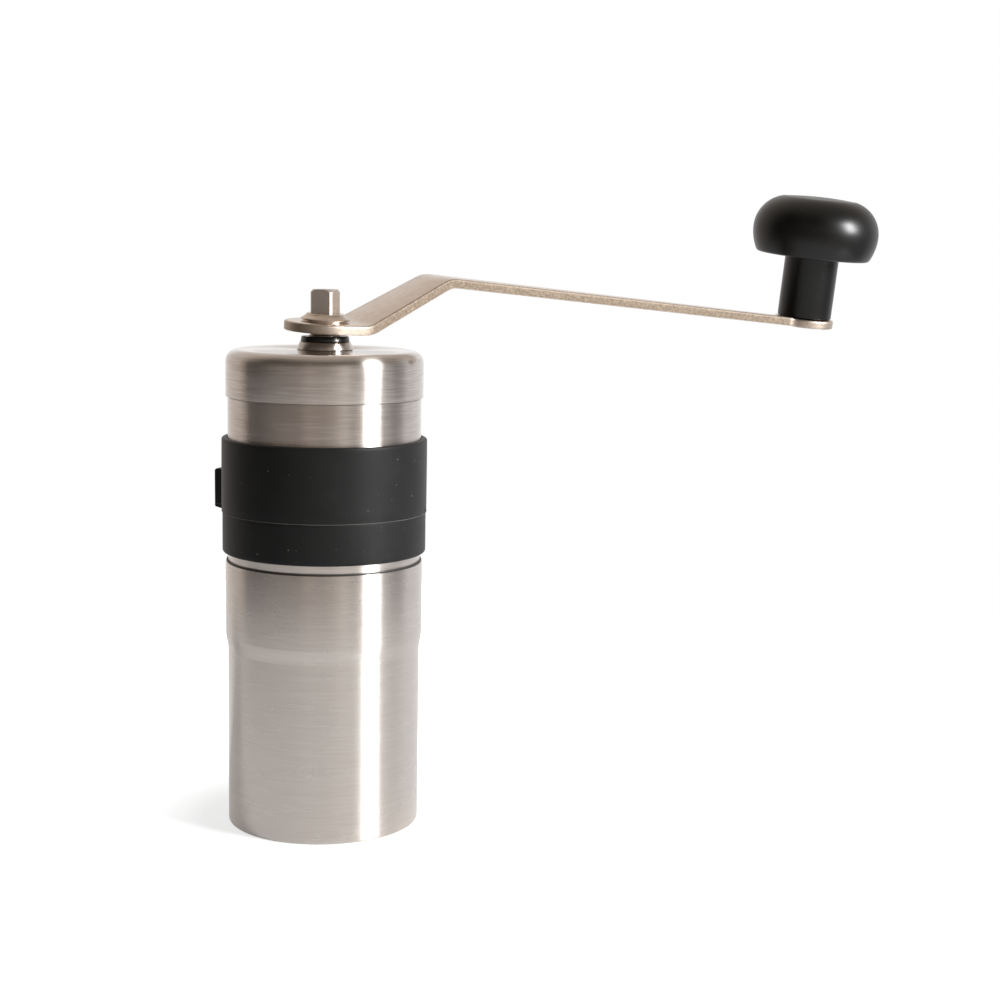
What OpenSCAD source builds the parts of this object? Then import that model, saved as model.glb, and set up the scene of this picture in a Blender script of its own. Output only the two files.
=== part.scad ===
// Hand crank coffee grinder: a slim steel hopper and cup with ceramic burrs and a lift-off crank.
// Millimetres, +Z up, origin at the middle of the cup's base.

/* [Body] */
// Outer diameter of the hopper tube and of the cup's lower part
tube_d = 48; // [46:0.5:60]
// Thickness of the steel sheet
sheet_t = 0.8; // [0.6:0.05:1]
// Height of the hopper tube between the burr housing's flange and the lid
hopper_h = 40.7; // [38:0.1:70]
// Height of the drawn neck that the lid slips over
neck_h = 7; // [5:0.5:9]

/* [Lid] */
// Height of the lid
lid_h = 11.7; // [11:0.1:16]
// How far the lid stands proud of the tube
lid_step = 0.5; // [0.3:0.1:1]
// Radius of the lid's rounded top edge
lid_edge_r = 3; // [1.5:0.1:4]
// Diameter of the lid collar at its foot
collar_d = 14; // [13:0.1:16]
// Height of the lid collar above the lid
collar_h = 2; // [1:0.1:4]
// How much the collar narrows in radius from foot to top
collar_taper = 0.7; // [0:0.1:0.8]
// Thickness of the lid bush's visible ring
ring_t = 1.4; // [1:0.1:3]

/* [Cup] */
// Height of the grounds cup
cup_h = 66.8; // [60:0.2:90]
// How far the belled mouth stands proud of the cup's lower part
mouth_step = 0.6; // [0.5:0.05:1]
// Depth of the belled mouth below the rim
mouth_h = 18.3; // [17:0.1:24]
// Height of the swage that runs from the mouth to the lower part
swage_h = 4; // [2:0.1:6]
// Radius of the cup's lower edge
base_edge_r = 0.9; // [0.8:0.1:3]
// Radius of the cup's inside corner
cup_corner_r = 3; // [1.5:0.5:6]

/* [Rubber band] */
// Thickness of the band
band_t = 1.6; // [1.2:0.1:2.5]
// Height of the band
band_h = 28.5; // [26:0.5:32]
// Bare tube below the band
band_up = 2.1; // [0.5:0.1:4]
// Height of the moulded line above the band's lower edge
line_h = 10.1; // [2:0.1:12]
// Direction of the handle holder round the band, in degrees
holder_az = 141; // [0:1:359]
// Angle that the holder spans, in degrees
holder_span = 48; // [44:1:70]
// Height of the holder's strap
holder_h = 9.8; // [6:0.1:11]
// Height of the strap's lower edge above the band's lower edge
holder_up = 9.4; // [6:0.1:14]
// Thickness of the strap
strap_t = 1.4; // [1:0.1:2.5]
// Angle of each end of the strap, in degrees
strap_end = 5; // [4:0.5:10]

/* [Burrs] */
// Outer diameter of the outer burr
burr_d = 38; // [36:0.5:40]
// Height of the outer burr
burr_h = 10; // [9:0.5:11]
// How far the outer burr's lower face lies below the housing's flange
burr_drop = 6.8; // [6:0.1:8]
// Bottom diameter of the inner burr
cone_d = 29; // [27:0.5:29]
// Top diameter of the inner burr
cone_top_d = 15.6; // [15:0.2:17]
// Height of the inner burr
cone_h = 11; // [10:0.5:12]
// Gap between the burrs at their lower edge, set fine
burr_gap = 0.4; // [0.3:0.05:0.6]
// Flutes round the inner burr
flutes = 9; // [6:1:12]
// Grooves round the outer burr
grooves = 18; // [10:1:24]

/* [Burr housing] */
// Thickness of the housing's flange between tube and cup
flange_t = 0.3; // [0.3:0.1:1]
// Depth of the housing's skirt inside the cup's mouth
skirt_h = 15; // [14.6:0.1:16]
// Wall of the skirt and of the burr pocket
housing_t = 1.8; // [1.4:0.1:2]
// Height of the hopper's funnel above the outer burr
funnel_h = 14; // [13:0.5:16]
// Diameter of the spider's hub
hub_d = 15; // [14.5:0.5:17]
// Height of the spider's hub
hub_h = 6; // [5:0.5:8]
// Width of each spider arm
arm_web_w = 3; // [2:0.5:5]
// Height of the retaining ring under the outer burr
retainer_h = 2.6; // [2:0.2:3]

/* [Drive shaft] */
// Diameter of the drive shaft
shaft_d = 8; // [7.6:0.1:8.4]
// Distance from the axis to each of the four flats
drive_flat = 2.9; // [2.75:0.05:3.1]
// Diameter over the four turned corners
drive_d = 7.5; // [7.4:0.1:7.6]
// Height of the four-sided end
drive_h = 11.2; // [9:0.1:16]
// Angle from the crank arm to a flat of the drive, in degrees
drive_turn = 42; // [30:1:60]
// Height of the shaft's shoulder above the lid bush
shoulder_up = 0.3; // [0.2:0.1:0.5]
// Diameter of the shaft's threaded end
thread_d = 6; // [5:0.2:6]
// Pitch of the adjuster's thread, which is the inner burr's travel in the nut's full turn
thread_pitch = 1; // [0.8:0.05:1.25]
// Width across the two flats that drive the inner burr
key_w = 6.4; // [6.2:0.1:7]
// Diameter of the spring's wire
wire_d = 0.9; // [0.6:0.1:1]
// Turns of the spring
spring_turns = 4.5; // [3:0.5:5]

/* [Adjuster] */
// Diameter of the adjuster nut over its lobes
nut_d = 19; // [17:0.5:21]
// Height of the adjuster nut
nut_h = 5; // [4.6:0.1:5.2]
// Lobes round the adjuster nut
lobes = 8; // [6:1:10]

/* [Crank] */
// Direction of the arm, in degrees
arm_az = 29; // [0:1:359]
// Length from the shaft's axis to the knob's axis
arm_len = 150; // [110:1:180]
// Thickness of the arm
arm_t = 2.35; // [2:0.05:2.5]
// Diameter of the arm's hub end
arm_hub_d = 20.2; // [18:0.1:24]
// Width of the arm at its upper bend
arm_mid_w = 16.6; // [12:0.1:18]
// Width of the arm where it meets the pad
arm_end_w = 9; // [8:0.1:12]
// Diameter of the pad under the knob
pad_d = 16.8; // [15.4:0.1:20]
// Distance from the axis to the lower bend
bend_near = 8.2; // [7.6:0.1:10]
// Distance from the axis to the upper bend
bend_far = 30.6; // [28:0.1:40]
// Rise of the arm between its bends
arm_rise = 12.1; // [8:0.1:16]
// Inside radius of the bends
bend_r = 5; // [3:0.5:6]
// How far the outer stretch slopes down, in degrees
arm_fall = 4.3; // [0:0.1:5]
// How far the pad slopes down, in degrees
pad_fall = 1.1; // [0:0.1:3]
// How far the pad is rolled over from the arm, in degrees
pad_roll = 2.6; // [0:0.1:3]
// Slack droop of the arm on the shaft, in degrees
arm_droop = 1.25; // [0:0.05:1.3]
// Slack roll of the arm about its own line, in degrees
arm_roll = 3.3; // [0:0.1:3.4]
// Slack between the drive and its socket
socket_gap = 0.27; // [0.25:0.01:0.35]
// Diameter of the raised flange round the socket
socket_d = 12.2; // [11.6:0.1:14]
// Height of the raised flange above the plate
socket_up = 2; // [1.4:0.1:2.4]
// Height of the socket's boss below the plate
socket_down = 0.5; // [0.4:0.1:2]

/* [Knob] */
// Height of the knob's stem
stem_h = 17.3; // [12:0.1:24]
// Diameter of the knob's stem
stem_d = 15.2; // [13:0.1:15.4]
// Largest diameter of the knob's head
head_d = 35.4; // [32:0.1:40]
// Diameter of the head's lower rim
rim_d = 31.6; // [30:0.1:31.6]
// Height of the head
head_h = 16.5; // [15:0.1:18]
// Height of the head's widest line above its lower rim
head_wide_h = 7; // [6:0.1:7.5]
// Radius of the head's rounded lower edge
head_edge_r = 1.2; // [0.6:0.1:2]
// Diameter of the pin that the knob turns on
pin_d = 5; // [4:0.1:6]
// Diameter of the cap that closes the knob
cap_d = 21; // [16:0.1:21]

/* [Fits] */
// Radial clearance of a shaft that turns in a bearing
running_gap = 0.05; // [0.02:0.01:0.08]
// Clearance between pieces fixed to each other
seat_gap = 0.02; // [0.01:0.01:0.04]
// Axial clearance between pieces that turn past each other
end_gap = 0.06; // [0.05:0.01:0.1]
// Clearance of pieces that slip together by hand
slip_gap = 0.3; // [0.2:0.05:0.35]
// Clearance of the skirt in the cup's mouth
skirt_gap = 0.12; // [0.1:0.01:0.2]

/* [Hidden] */
$fn = 96;
eps = 0.01;

// Radii and heights of the body
tube_r = tube_d / 2;
tube_bore_r = tube_r - sheet_t;
lid_r = tube_r + lid_step;
neck_r = lid_r - sheet_t - slip_gap;
mouth_r = tube_r + mouth_step;
mouth_bore_r = mouth_r - sheet_t;
tube_z = cup_h + flange_t;
lid_z = tube_z + hopper_h;
lid_top = lid_z + lid_h;
band_z = tube_z + band_up;

// Lid fittings
bush_wall = 1.15;
bush_r = shaft_d / 2 + bush_wall;
collar_bore_r = bush_r + seat_gap;
spigot_wall = 0.5;
collar_spigot_r = collar_bore_r + spigot_wall;
lock_lip = 1.8;
collar_lock_r = collar_spigot_r + lock_lip;
collar_lock_t = 1.2;
bush_tail = 2.2;
ring_taper = 0.3;
ring_inset = 0.2;
ring_z = lid_top + collar_h;
ring_top = ring_z + ring_t;

// Burrs
burr_travel = thread_pitch;
burr_z = cup_h - burr_drop;
burr_top = burr_z + burr_h;
burr_r = burr_d / 2;
cone_slope = (cone_d - cone_top_d) / 2 / cone_h;
throat_h = 3;
burr_mouth_r = cone_d / 2 + burr_gap;
burr_throat_r = burr_mouth_r - cone_slope * throat_h;
cone_z = burr_z - burr_travel;
driver_flange_t = 1;
driver_flange_lip = 1.6;
driver_stub = 1;
driver_z = cone_z - driver_flange_t;
driver_top = cone_z + cone_h + driver_stub;
core_wall = 2.2;
core_r = shaft_d / 2 + core_wall;
rib_w = 2.2;
rib_depth = 1;
rib_r = core_r + rib_depth;
rib_top = cone_z + cone_h - 1;

// Burr housing
pocket_r = burr_r + running_gap * 2;
pocket_wall_r = pocket_r + housing_t;
retainer_z = burr_z - end_gap - retainer_h;
skirt_r = mouth_bore_r - skirt_gap;
skirt_z = cup_h - skirt_h;
sleeve_r = tube_bore_r - seat_gap;
seam_inset = 0.2;
flange_r = mouth_r - seam_inset;
funnel_top = burr_top + funnel_h;
hub_z = funnel_top - hub_h;
arm_web_h = 4;
arm_web_drop = 1;
bridge_t = 0.8;
funnel_lip = 2;
funnel_foot = 1.2;
bush_flange_t = 0.8;
bush_flange_inset = 0.5;
lower_bush_wall = 1.5;
lower_bush_r = shaft_d / 2 + lower_bush_wall;

// Drive shaft
shaft_r = shaft_d / 2;
bearing_r = shaft_r + running_gap;
shoulder_z = ring_top + shoulder_up;
clip_t = 0.7;
clip_depth = 0.8;
clip_inset = 0.6;
clip_mouth = 1.2;
washer_t = 0.5;
washer_lip = 3;
washer_r = shaft_r + washer_lip;
washer_inset = 0.3;
upper_washer_z = hub_z + hub_h + bush_flange_t + end_gap;
clip_z = upper_washer_z + washer_t + end_gap;
lower_washer_z = hub_z - end_gap - washer_t;
nut_top = driver_z - end_gap;
nut_z = nut_top - nut_h;
thread_tail = 0.5;
shaft_low = nut_z - thread_tail;
thread_lead = 1;
thread_top = driver_z + burr_travel + thread_lead;
key_low = thread_top - burr_travel - end_gap;
key_spare = 0.5;
key_top = driver_top + burr_travel + key_spare;
top_bevel = 0.7;
insert_wall = 1.5;
insert_r = thread_d / 2 + insert_wall;
insert_flange_r = insert_r + 1.2;
insert_flange_t = 0.8;
insert_short = 0.4;

// Crank
seat_up = 0.4;
plate_z = shoulder_z + seat_up + socket_down + arm_t;
shank_wall = 1.3;
shank_r = drive_d / 2 + shank_wall;
boss_lip = 0.35;
arm_slope = atan(arm_rise / (bend_far - bend_near));
pad_neck = sqrt(pow(pad_d / 2, 2) - pow(arm_end_w / 2, 2));
pad_root = arm_len - pad_neck;
pad_z = arm_rise - (pad_root - bend_far) * tan(arm_fall) - pad_neck * tan(pad_fall);
pin_r = pin_d / 2;
pin_collar_r = pin_r + 0.5;
pin_groove_r = pin_r - 0.5;
knob_up = 0.2;
pin_in_head = 4.5;
pin_h = knob_up + stem_h + pin_in_head;
pin_tail = 2.2;
clip_seat = pin_h - pin_tail;
pin_clip_lip = 2.3;
pin_clip_r = pin_r + pin_clip_lip;
pocket_edge = 1;
cap_t = 1.6;

// Points of an arc about [x, z] from angle a to angle b
function arc(x, z, r, a, b, n = 8) = [
    for (i = [0:n]) let (t = a + (b - a) * i / n) [x + r * cos(t), z + r * sin(t)]
];

// A smooth step from 0 to 1
function ease(t) = (1 - cos(180 * t)) / 2;

// Smooth change of radius between two heights, as [radius, height] pairs
function swage(r_low, r_high, z_low, z_high, n = 8) = [
    for (i = [0:n]) [r_low + (r_high - r_low) * ease(i / n), z_low + (z_high - z_low) * i / n]
];

// A round can with a rounded top edge, as a half section
module can_section(r, h, edge) {
    square([r - edge, h]);
    square([r, h - edge]);
    translate([r - edge, h - edge]) circle(edge);
}

// A ring or sleeve
module ring(r_out, r_in, h) {
    difference() {
        cylinder(r = r_out, h = h);
        translate([0, 0, -eps]) cylinder(r = r_in, h = h + 2 * eps);
    }
}

// The four-sided drive, as a flat outline
module drive_outline(flat, corner_r) {
    intersection() {
        circle(corner_r);
        square(2 * flat, center = true);
    }
}

// Turns a shape to the crank's place, with the arm along X
module crank_frame() {
    translate([0, 0, plate_z]) rotate([arm_roll, arm_droop, arm_az]) children();
}

// Turns a shape to the knob's place on the pad
module knob_frame() {
    crank_frame() translate([arm_len, 0, pad_z]) rotate([pad_roll, pad_fall, 0]) children();
}

module grounds_cup() {
    mouth_z = cup_h - mouth_h;
    bell_z = mouth_z - swage_h;
    bore_r = tube_r - sheet_t;
    rim_r = sheet_t * 0.35;
    outer = concat([[0, 0], [tube_r - base_edge_r, 0]],
        arc(tube_r - base_edge_r, base_edge_r, base_edge_r, -90, 0),
        swage(tube_r, mouth_r, bell_z, mouth_z),
        arc(mouth_r - rim_r, cup_h - rim_r, rim_r, 0, 90, 4),
        [[mouth_bore_r, cup_h]]);
    inner = concat(
        swage(mouth_bore_r, bore_r, mouth_z, bell_z),
        arc(bore_r - cup_corner_r, sheet_t + cup_corner_r, cup_corner_r, 0, -90),
        [[0, sheet_t]]);
    color("#c4bcb6") rotate_extrude() polygon(concat(outer, inner));
}

module hopper_tube() {
    neck_bore_r = neck_r - sheet_t;
    color("#bdb5ae")
    rotate_extrude() polygon([
        [tube_bore_r, tube_z], [tube_r, tube_z], [tube_r, lid_z], [neck_r, lid_z],
        [neck_r, lid_z + neck_h], [neck_bore_r, lid_z + neck_h], [neck_bore_r, lid_z - sheet_t],
        [tube_bore_r, lid_z - sheet_t]
    ]);
}

module rubber_band() {
    band_r = tube_r + seat_gap;
    band_out = tube_r + band_t;
    band_root = (band_r + band_out) / 2;
    edge = 0.4;
    line_w = 0.3;
    line_depth = 0.15;
    slot_gap = arm_t + slip_gap;
    strap_r = band_out + slot_gap + strap_t;
    strap_z = band_z + holder_up;
    gusset = 2.4;
    color("#1d1d1d") {
        rotate_extrude() polygon([
            [band_r, band_z], [band_out - edge, band_z], [band_out, band_z + edge],
            [band_out, band_z + line_h - line_w], [band_out - line_depth, band_z + line_h],
            [band_out, band_z + line_h], [band_out, band_z + band_h - edge],
            [band_out - edge, band_z + band_h], [band_r, band_z + band_h]
        ]);
        rotate([0, 0, holder_az - holder_span / 2]) difference() {
            rotate_extrude(angle = holder_span) polygon([
                [band_root, strap_z - gusset], [band_out + edge, strap_z - edge],
                [strap_r, strap_z], [strap_r, strap_z + holder_h], [band_root, strap_z + holder_h]
            ]);
            rotate([0, 0, strap_end]) rotate_extrude(angle = holder_span - 2 * strap_end)
                translate([band_root - edge, strap_z - gusset - eps])
                    square([band_out + slot_gap - band_root + edge, holder_h + gusset + 2 * eps]);
        }
    }
}

module burr_housing() {
    skirt_bore_r = skirt_r - housing_t;
    bridge_z = cup_h - bridge_t;
    funnel_rim_r = sleeve_r - housing_t;
    color("#262626") {
        rotate_extrude() polygon([
            [skirt_bore_r, skirt_z], [skirt_r, skirt_z], [skirt_r, cup_h], [flange_r, cup_h],
            [flange_r, tube_z], [sleeve_r, tube_z], [sleeve_r, funnel_top], [funnel_rim_r, funnel_top],
            [funnel_rim_r, funnel_top - funnel_lip], [burr_throat_r, burr_top + funnel_foot],
            [burr_throat_r, burr_top + end_gap], [pocket_r, burr_top + end_gap],
            [pocket_r, retainer_z - end_gap], [pocket_wall_r, retainer_z - end_gap],
            [pocket_wall_r, bridge_z], [skirt_bore_r, bridge_z]
        ]);
        difference() {
            union() {
                translate([0, 0, hub_z]) cylinder(d = hub_d, h = hub_h);
                for (i = [0:2]) rotate([0, 0, 120 * i + arm_az + 60])
                    translate([0, -arm_web_w / 2, funnel_top - arm_web_drop - arm_web_h])
                        cube([sleeve_r - housing_t / 2, arm_web_w, arm_web_h]);
            }
            translate([0, 0, hub_z - eps]) cylinder(r = lower_bush_r + seat_gap, h = hub_h + 2 * eps);
        }
    }
}

module outer_burr() {
    groove_w = 1.2;
    groove_depth = 1.1;
    groove_inset = 1;
    groove_lean = 4;
    groove_turn = 12;
    color("#ece8df")
    translate([0, 0, burr_z]) difference() {
        rotate_extrude() polygon([
            [burr_mouth_r, 0], [burr_r, 0], [burr_r, burr_h], [burr_throat_r, burr_h],
            [burr_throat_r, throat_h]
        ]);
        for (i = [0:grooves - 1]) rotate([0, 0, 360 / grooves * i])
            translate([burr_throat_r - groove_inset, 0, throat_h]) rotate([0, groove_lean, groove_turn])
                cube([groove_inset + groove_depth, groove_w, burr_h]);
    }
}

module burr_retainer() {
    bore_gap = 1.5;
    bore_r = cone_d / 2 + bore_gap;
    notch_w = 4.8;
    notch_depth = 1.2;
    color("#2b2b2b")
    translate([0, 0, retainer_z]) difference() {
        ring(burr_r + running_gap, bore_r, retainer_h);
        for (i = [0:2]) rotate([0, 0, 120 * i])
            translate([0, -notch_w / 2, -eps]) cube([bore_r + notch_depth, notch_w, retainer_h / 2]);
    }
}

module lower_bush() {
    color("#c9a063")
    translate([0, 0, hub_z]) {
        ring(lower_bush_r, bearing_r, hub_h);
        translate([0, 0, hub_h]) ring(hub_d / 2 - bush_flange_inset, bearing_r, bush_flange_t);
    }
}

module lid() {
    bore_edge = lid_edge_r - sheet_t;
    color("#c2bab4")
    translate([0, 0, lid_z]) rotate_extrude() difference() {
        can_section(lid_r, lid_h, lid_edge_r);
        translate([0, -eps]) can_section(lid_r - sheet_t, lid_h - sheet_t + eps, bore_edge);
        translate([-lid_edge_r, 0]) square([lid_edge_r, lid_h]);
        square([collar_spigot_r + seat_gap, lid_h + eps]);
    }
}

module lid_collar() {
    foot_r = collar_d / 2;
    under = lid_top - sheet_t - seat_gap;
    color("#b9b1a8")
    rotate_extrude() polygon([
        [collar_bore_r, under - collar_lock_t], [collar_lock_r, under - collar_lock_t],
        [collar_lock_r, under], [collar_spigot_r, under], [collar_spigot_r, lid_top + seat_gap],
        [foot_r, lid_top + seat_gap], [foot_r - collar_taper, ring_z - seat_gap],
        [collar_bore_r, ring_z - seat_gap]
    ]);
}

module lid_bush() {
    ring_r = collar_d / 2 - collar_taper - ring_inset;
    tail_z = lid_top - sheet_t - collar_lock_t - bush_tail;
    color("#15191a")
    rotate_extrude() polygon([
        [bearing_r, tail_z], [bush_r, tail_z], [bush_r, ring_z], [ring_r, ring_z],
        [ring_r - ring_taper, ring_top], [bearing_r, ring_top]
    ]);
}

module drive_shaft() {
    thread_r = thread_d / 2;
    bevel_r = drive_d / 2 - top_bevel;
    groove_reach = 1;
    color("#a9a39c")
    difference() {
        union() {
            translate([0, 0, shaft_low]) cylinder(r = thread_r, h = thread_top - shaft_low);
            intersection() {
                translate([0, 0, thread_top]) cylinder(r = shaft_r, h = key_top - thread_top);
                translate([-shaft_r, -key_w / 2, thread_top]) cube([shaft_d, key_w, key_top - thread_top]);
            }
            translate([0, 0, key_top]) cylinder(r = shaft_r, h = shoulder_z - key_top);
            intersection() {
                translate([0, 0, shoulder_z]) rotate([0, 0, arm_az + drive_turn])
                    linear_extrude(drive_h) drive_outline(drive_flat, drive_d / 2);
                translate([0, 0, shoulder_z]) cylinder(r1 = bevel_r + drive_h, r2 = bevel_r, h = drive_h);
            }
        }
        translate([0, 0, clip_z - end_gap / 2])
            ring(shaft_r + groove_reach, shaft_r - clip_depth, clip_t + end_gap);
    }
}

module shaft_clip() {
    color("#8d8983")
    translate([0, 0, clip_z]) difference() {
        ring(washer_r - clip_inset, shaft_r - clip_depth + seat_gap, clip_t);
        translate([0, -shaft_r * clip_mouth / 2, -eps])
            cube([washer_r, shaft_r * clip_mouth, clip_t + 2 * eps]);
    }
}

module upper_washer() {
    color("#a39e97")
    translate([0, 0, upper_washer_z]) ring(washer_r - washer_inset, bearing_r, washer_t);
}

module lower_washer() {
    color("#a39e97")
    translate([0, 0, lower_washer_z]) ring(washer_r, bearing_r, washer_t);
}

// One coil of round wire, swept as rings of points
module burr_spring() {
    wire_sides = 8;
    steps = 20;
    coil_r = shaft_r + wire_d / 2 + slip_gap;
    low = driver_top + wire_d / 2;
    high = lower_washer_z - end_gap - wire_d / 2;
    rings = round(spring_turns * steps);
    closed_turns = 0.75;
    closed = closed_turns / spring_turns;
    function rise(t) = let (u = max(0, min(1, (t - closed) / (1 - 2 * closed)))) low + (high - low) * u;
    function wire_point(turn, side, z) = let (r = coil_r + wire_d / 2 * cos(side))
        [r * cos(turn), r * sin(turn), z + wire_d / 2 * sin(side)];
    points = [for (i = [0:rings]) for (j = [0:wire_sides - 1])
        wire_point(360 * spring_turns * i / rings, 360 * j / wire_sides, rise(i / rings))];
    sides = [for (i = [0:rings - 1]) for (j = [0:wire_sides - 1])
        let (a = i * wire_sides + j, b = i * wire_sides + (j + 1) % wire_sides)
        [a, b, b + wire_sides, a + wire_sides]];
    ends = [[for (j = [wire_sides - 1:-1:0]) j], [for (j = [0:wire_sides - 1]) rings * wire_sides + j]];
    color("#9c9892") polyhedron(points, concat(sides, ends));
}

module inner_burr() {
    flute_w = 3;
    flute_depth = 1.4;
    flute_lean = 32;
    flute_flare = 6;
    flute_foot = 2;
    flute_turn = 20;
    lead_w = 1;
    lead_depth = 0.6;
    lead_lean = 20;
    lead_h = 3.4;
    color("#f1ede4")
    translate([0, 0, cone_z]) difference() {
        cylinder(d1 = cone_d, d2 = cone_top_d, h = cone_h);
        translate([0, 0, -eps]) cylinder(r = core_r + seat_gap, h = cone_h + 2 * eps);
        for (i = [0:2]) rotate([0, 0, 120 * i])
            translate([0, -rib_w / 2 - seat_gap, -eps])
                cube([rib_r + seat_gap, rib_w + 2 * seat_gap, cone_h + 2 * eps]);
        for (i = [0:flutes - 1]) rotate([0, 0, 360 / flutes * i + flute_turn])
            translate([cone_d / 2 - flute_depth, 0, flute_foot])
                rotate([0, atan(-cone_slope) - flute_flare, 0]) rotate([flute_lean, 0, 0])
                    translate([0, -flute_w / 2, 0]) cube([2 * flute_w, flute_w, 2 * cone_h]);
        for (i = [0:3 * flutes - 1]) rotate([0, 0, 120 / flutes * i])
            translate([cone_d / 2 - lead_depth, 0, -eps])
                rotate([0, atan(-cone_slope), 0]) rotate([lead_lean, 0, 0])
                    translate([0, -lead_w / 2, 0]) cube([2 * lead_w, lead_w, lead_h]);
    }
}

module burr_driver() {
    color("#303030")
    difference() {
        translate([0, 0, driver_z]) {
            cylinder(r = core_r, h = driver_top - driver_z);
            cylinder(r = rib_r + driver_flange_lip, h = driver_flange_t);
            for (i = [0:2]) rotate([0, 0, 120 * i])
                translate([0, -rib_w / 2, 0]) cube([rib_r, rib_w, rib_top - driver_z]);
        }
        intersection() {
            translate([0, 0, key_low]) cylinder(r = bearing_r, h = driver_top);
            translate([-shaft_d, -key_w / 2 - running_gap, key_low])
                cube([2 * shaft_d, key_w + 2 * running_gap, driver_top]);
        }
        translate([0, 0, driver_z - eps]) cylinder(r = thread_d / 2 + running_gap, h = driver_top);
    }
}

module adjuster_nut() {
    nut_r = nut_d / 2;
    dip_r = nut_d / 8;
    dip_out = dip_r / 3;
    color("#222222")
    translate([0, 0, nut_z]) difference() {
        cylinder(r = nut_r, h = nut_h);
        translate([0, 0, -eps]) cylinder(r = insert_r + seat_gap, h = nut_h + 2 * eps);
        translate([0, 0, -eps]) cylinder(r = insert_flange_r + seat_gap, h = insert_flange_t + eps);
        for (i = [0:lobes - 1]) rotate([0, 0, 360 / lobes * i])
            translate([nut_r + dip_out, 0, -eps]) cylinder(r = dip_r, h = nut_h + 2 * eps);
    }
}

module nut_insert() {
    color("#c8a253")
    translate([0, 0, nut_z]) {
        ring(insert_flange_r, thread_d / 2 + running_gap, insert_flange_t - seat_gap);
        ring(insert_r, thread_d / 2 + running_gap, nut_h - insert_short);
    }
}

// Middle line of the bent bar: [x, z, direction] along the arm
function bend(x, z, a, b) = let (
        s = sign(b - a),
        r = bend_r + arm_t / 2,
        run = r * tan(abs(b - a) / 2),
        cx = x - run * cos(a) - s * r * sin(a),
        cz = z - run * sin(a) + s * r * cos(a)
    ) [for (i = [0:6]) let (t = a + (b - a) * i / 6) [cx + s * r * sin(t), cz - s * r * cos(t), t]];

module arm_profile() {
    mid = -arm_t / 2;
    reach = arm_len + pad_d;
    path = concat([[-arm_hub_d, mid, 0]],
        bend(bend_near, mid, 0, arm_slope),
        bend(bend_far, arm_rise + mid, arm_slope, -arm_fall),
        [[reach, arm_rise + mid - (reach - bend_far) * tan(arm_fall), -arm_fall]]);
    last = len(path) - 1;
    function edge_point(p, side) = let (r = side * arm_t / 2) [p[0] - r * sin(p[2]), p[1] + r * cos(p[2])];
    polygon(concat([for (p = path) edge_point(p, 1)], [for (i = [last:-1:0]) edge_point(path[i], -1)]));
}

module arm_outline() {
    lap = 0.4;
    end = pad_root + lap;
    circle(d = arm_hub_d);
    polygon([
        [0, -arm_hub_d / 2], [bend_near, -arm_hub_d / 2], [bend_far, -arm_mid_w / 2],
        [end, -arm_end_w / 2], [end, arm_end_w / 2], [bend_far, arm_mid_w / 2],
        [bend_near, arm_hub_d / 2], [0, arm_hub_d / 2]
    ]);
}

module crank_arm() {
    stock = 60;
    color("#cfc4b8")
    difference() {
        union() {
            crank_frame() intersection() {
                translate([0, 0, -stock / 2]) linear_extrude(stock) arm_outline();
                rotate([90, 0, 0]) translate([0, 0, -stock / 2]) linear_extrude(stock) arm_profile();
            }
            knob_frame() translate([0, 0, -arm_t]) cylinder(d = pad_d, h = arm_t);
        }
        crank_frame() translate([0, 0, -2 * arm_t]) cylinder(r = shank_r + seat_gap, h = 3 * arm_t);
        knob_frame() translate([0, 0, -2 * arm_t]) cylinder(r = pin_collar_r + seat_gap, h = 3 * arm_t);
    }
}

module hub_socket() {
    collar_r = socket_d / 2;
    lift = 0.4;
    boss_r = shank_r + boss_lip;
    crown_r = shank_r - 0.4;
    socket_h = arm_t + socket_down + socket_up;
    color("#c9bfb3")
    crank_frame() difference() {
        rotate_extrude() polygon([
            [0, -arm_t - socket_down], [boss_r, -arm_t - socket_down], [boss_r, -arm_t - seat_gap],
            [shank_r, -arm_t - seat_gap], [shank_r, seat_gap], [boss_r, seat_gap],
            [boss_r, lift], [collar_r, lift], [collar_r, lift * 2], [crown_r, socket_up], [0, socket_up]
        ]);
        translate([0, 0, -socket_h]) rotate([0, 0, drive_turn])
            linear_extrude(2 * socket_h) drive_outline(drive_flat + socket_gap, drive_d / 2 + socket_gap);
    }
}

module knob_pin() {
    head_r = pin_r + 1.2;
    head_t = 0.4;
    head_z = -arm_t - head_t;
    under = -arm_t - seat_gap;
    color("#b5aea6")
    knob_frame() rotate_extrude() polygon([
        [0, head_z], [head_r - head_t / 2, head_z], [head_r, head_z + head_t / 2], [head_r, under],
        [pin_collar_r, under], [pin_collar_r, 0], [pin_r, 0], [pin_r, clip_seat],
        [pin_groove_r, clip_seat], [pin_groove_r, clip_seat + clip_t],
        [pin_r, clip_seat + clip_t], [pin_r, pin_h], [0, pin_h]
    ]);
}

module pin_clip() {
    color("#8d8983")
    knob_frame() translate([0, 0, clip_seat + end_gap]) difference() {
        ring(pin_clip_r, pin_groove_r + seat_gap, clip_t - 2 * end_gap);
        translate([0, -pin_r * clip_mouth / 2, -eps]) cube([pin_clip_r, pin_r * clip_mouth, clip_t]);
    }
}

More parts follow.
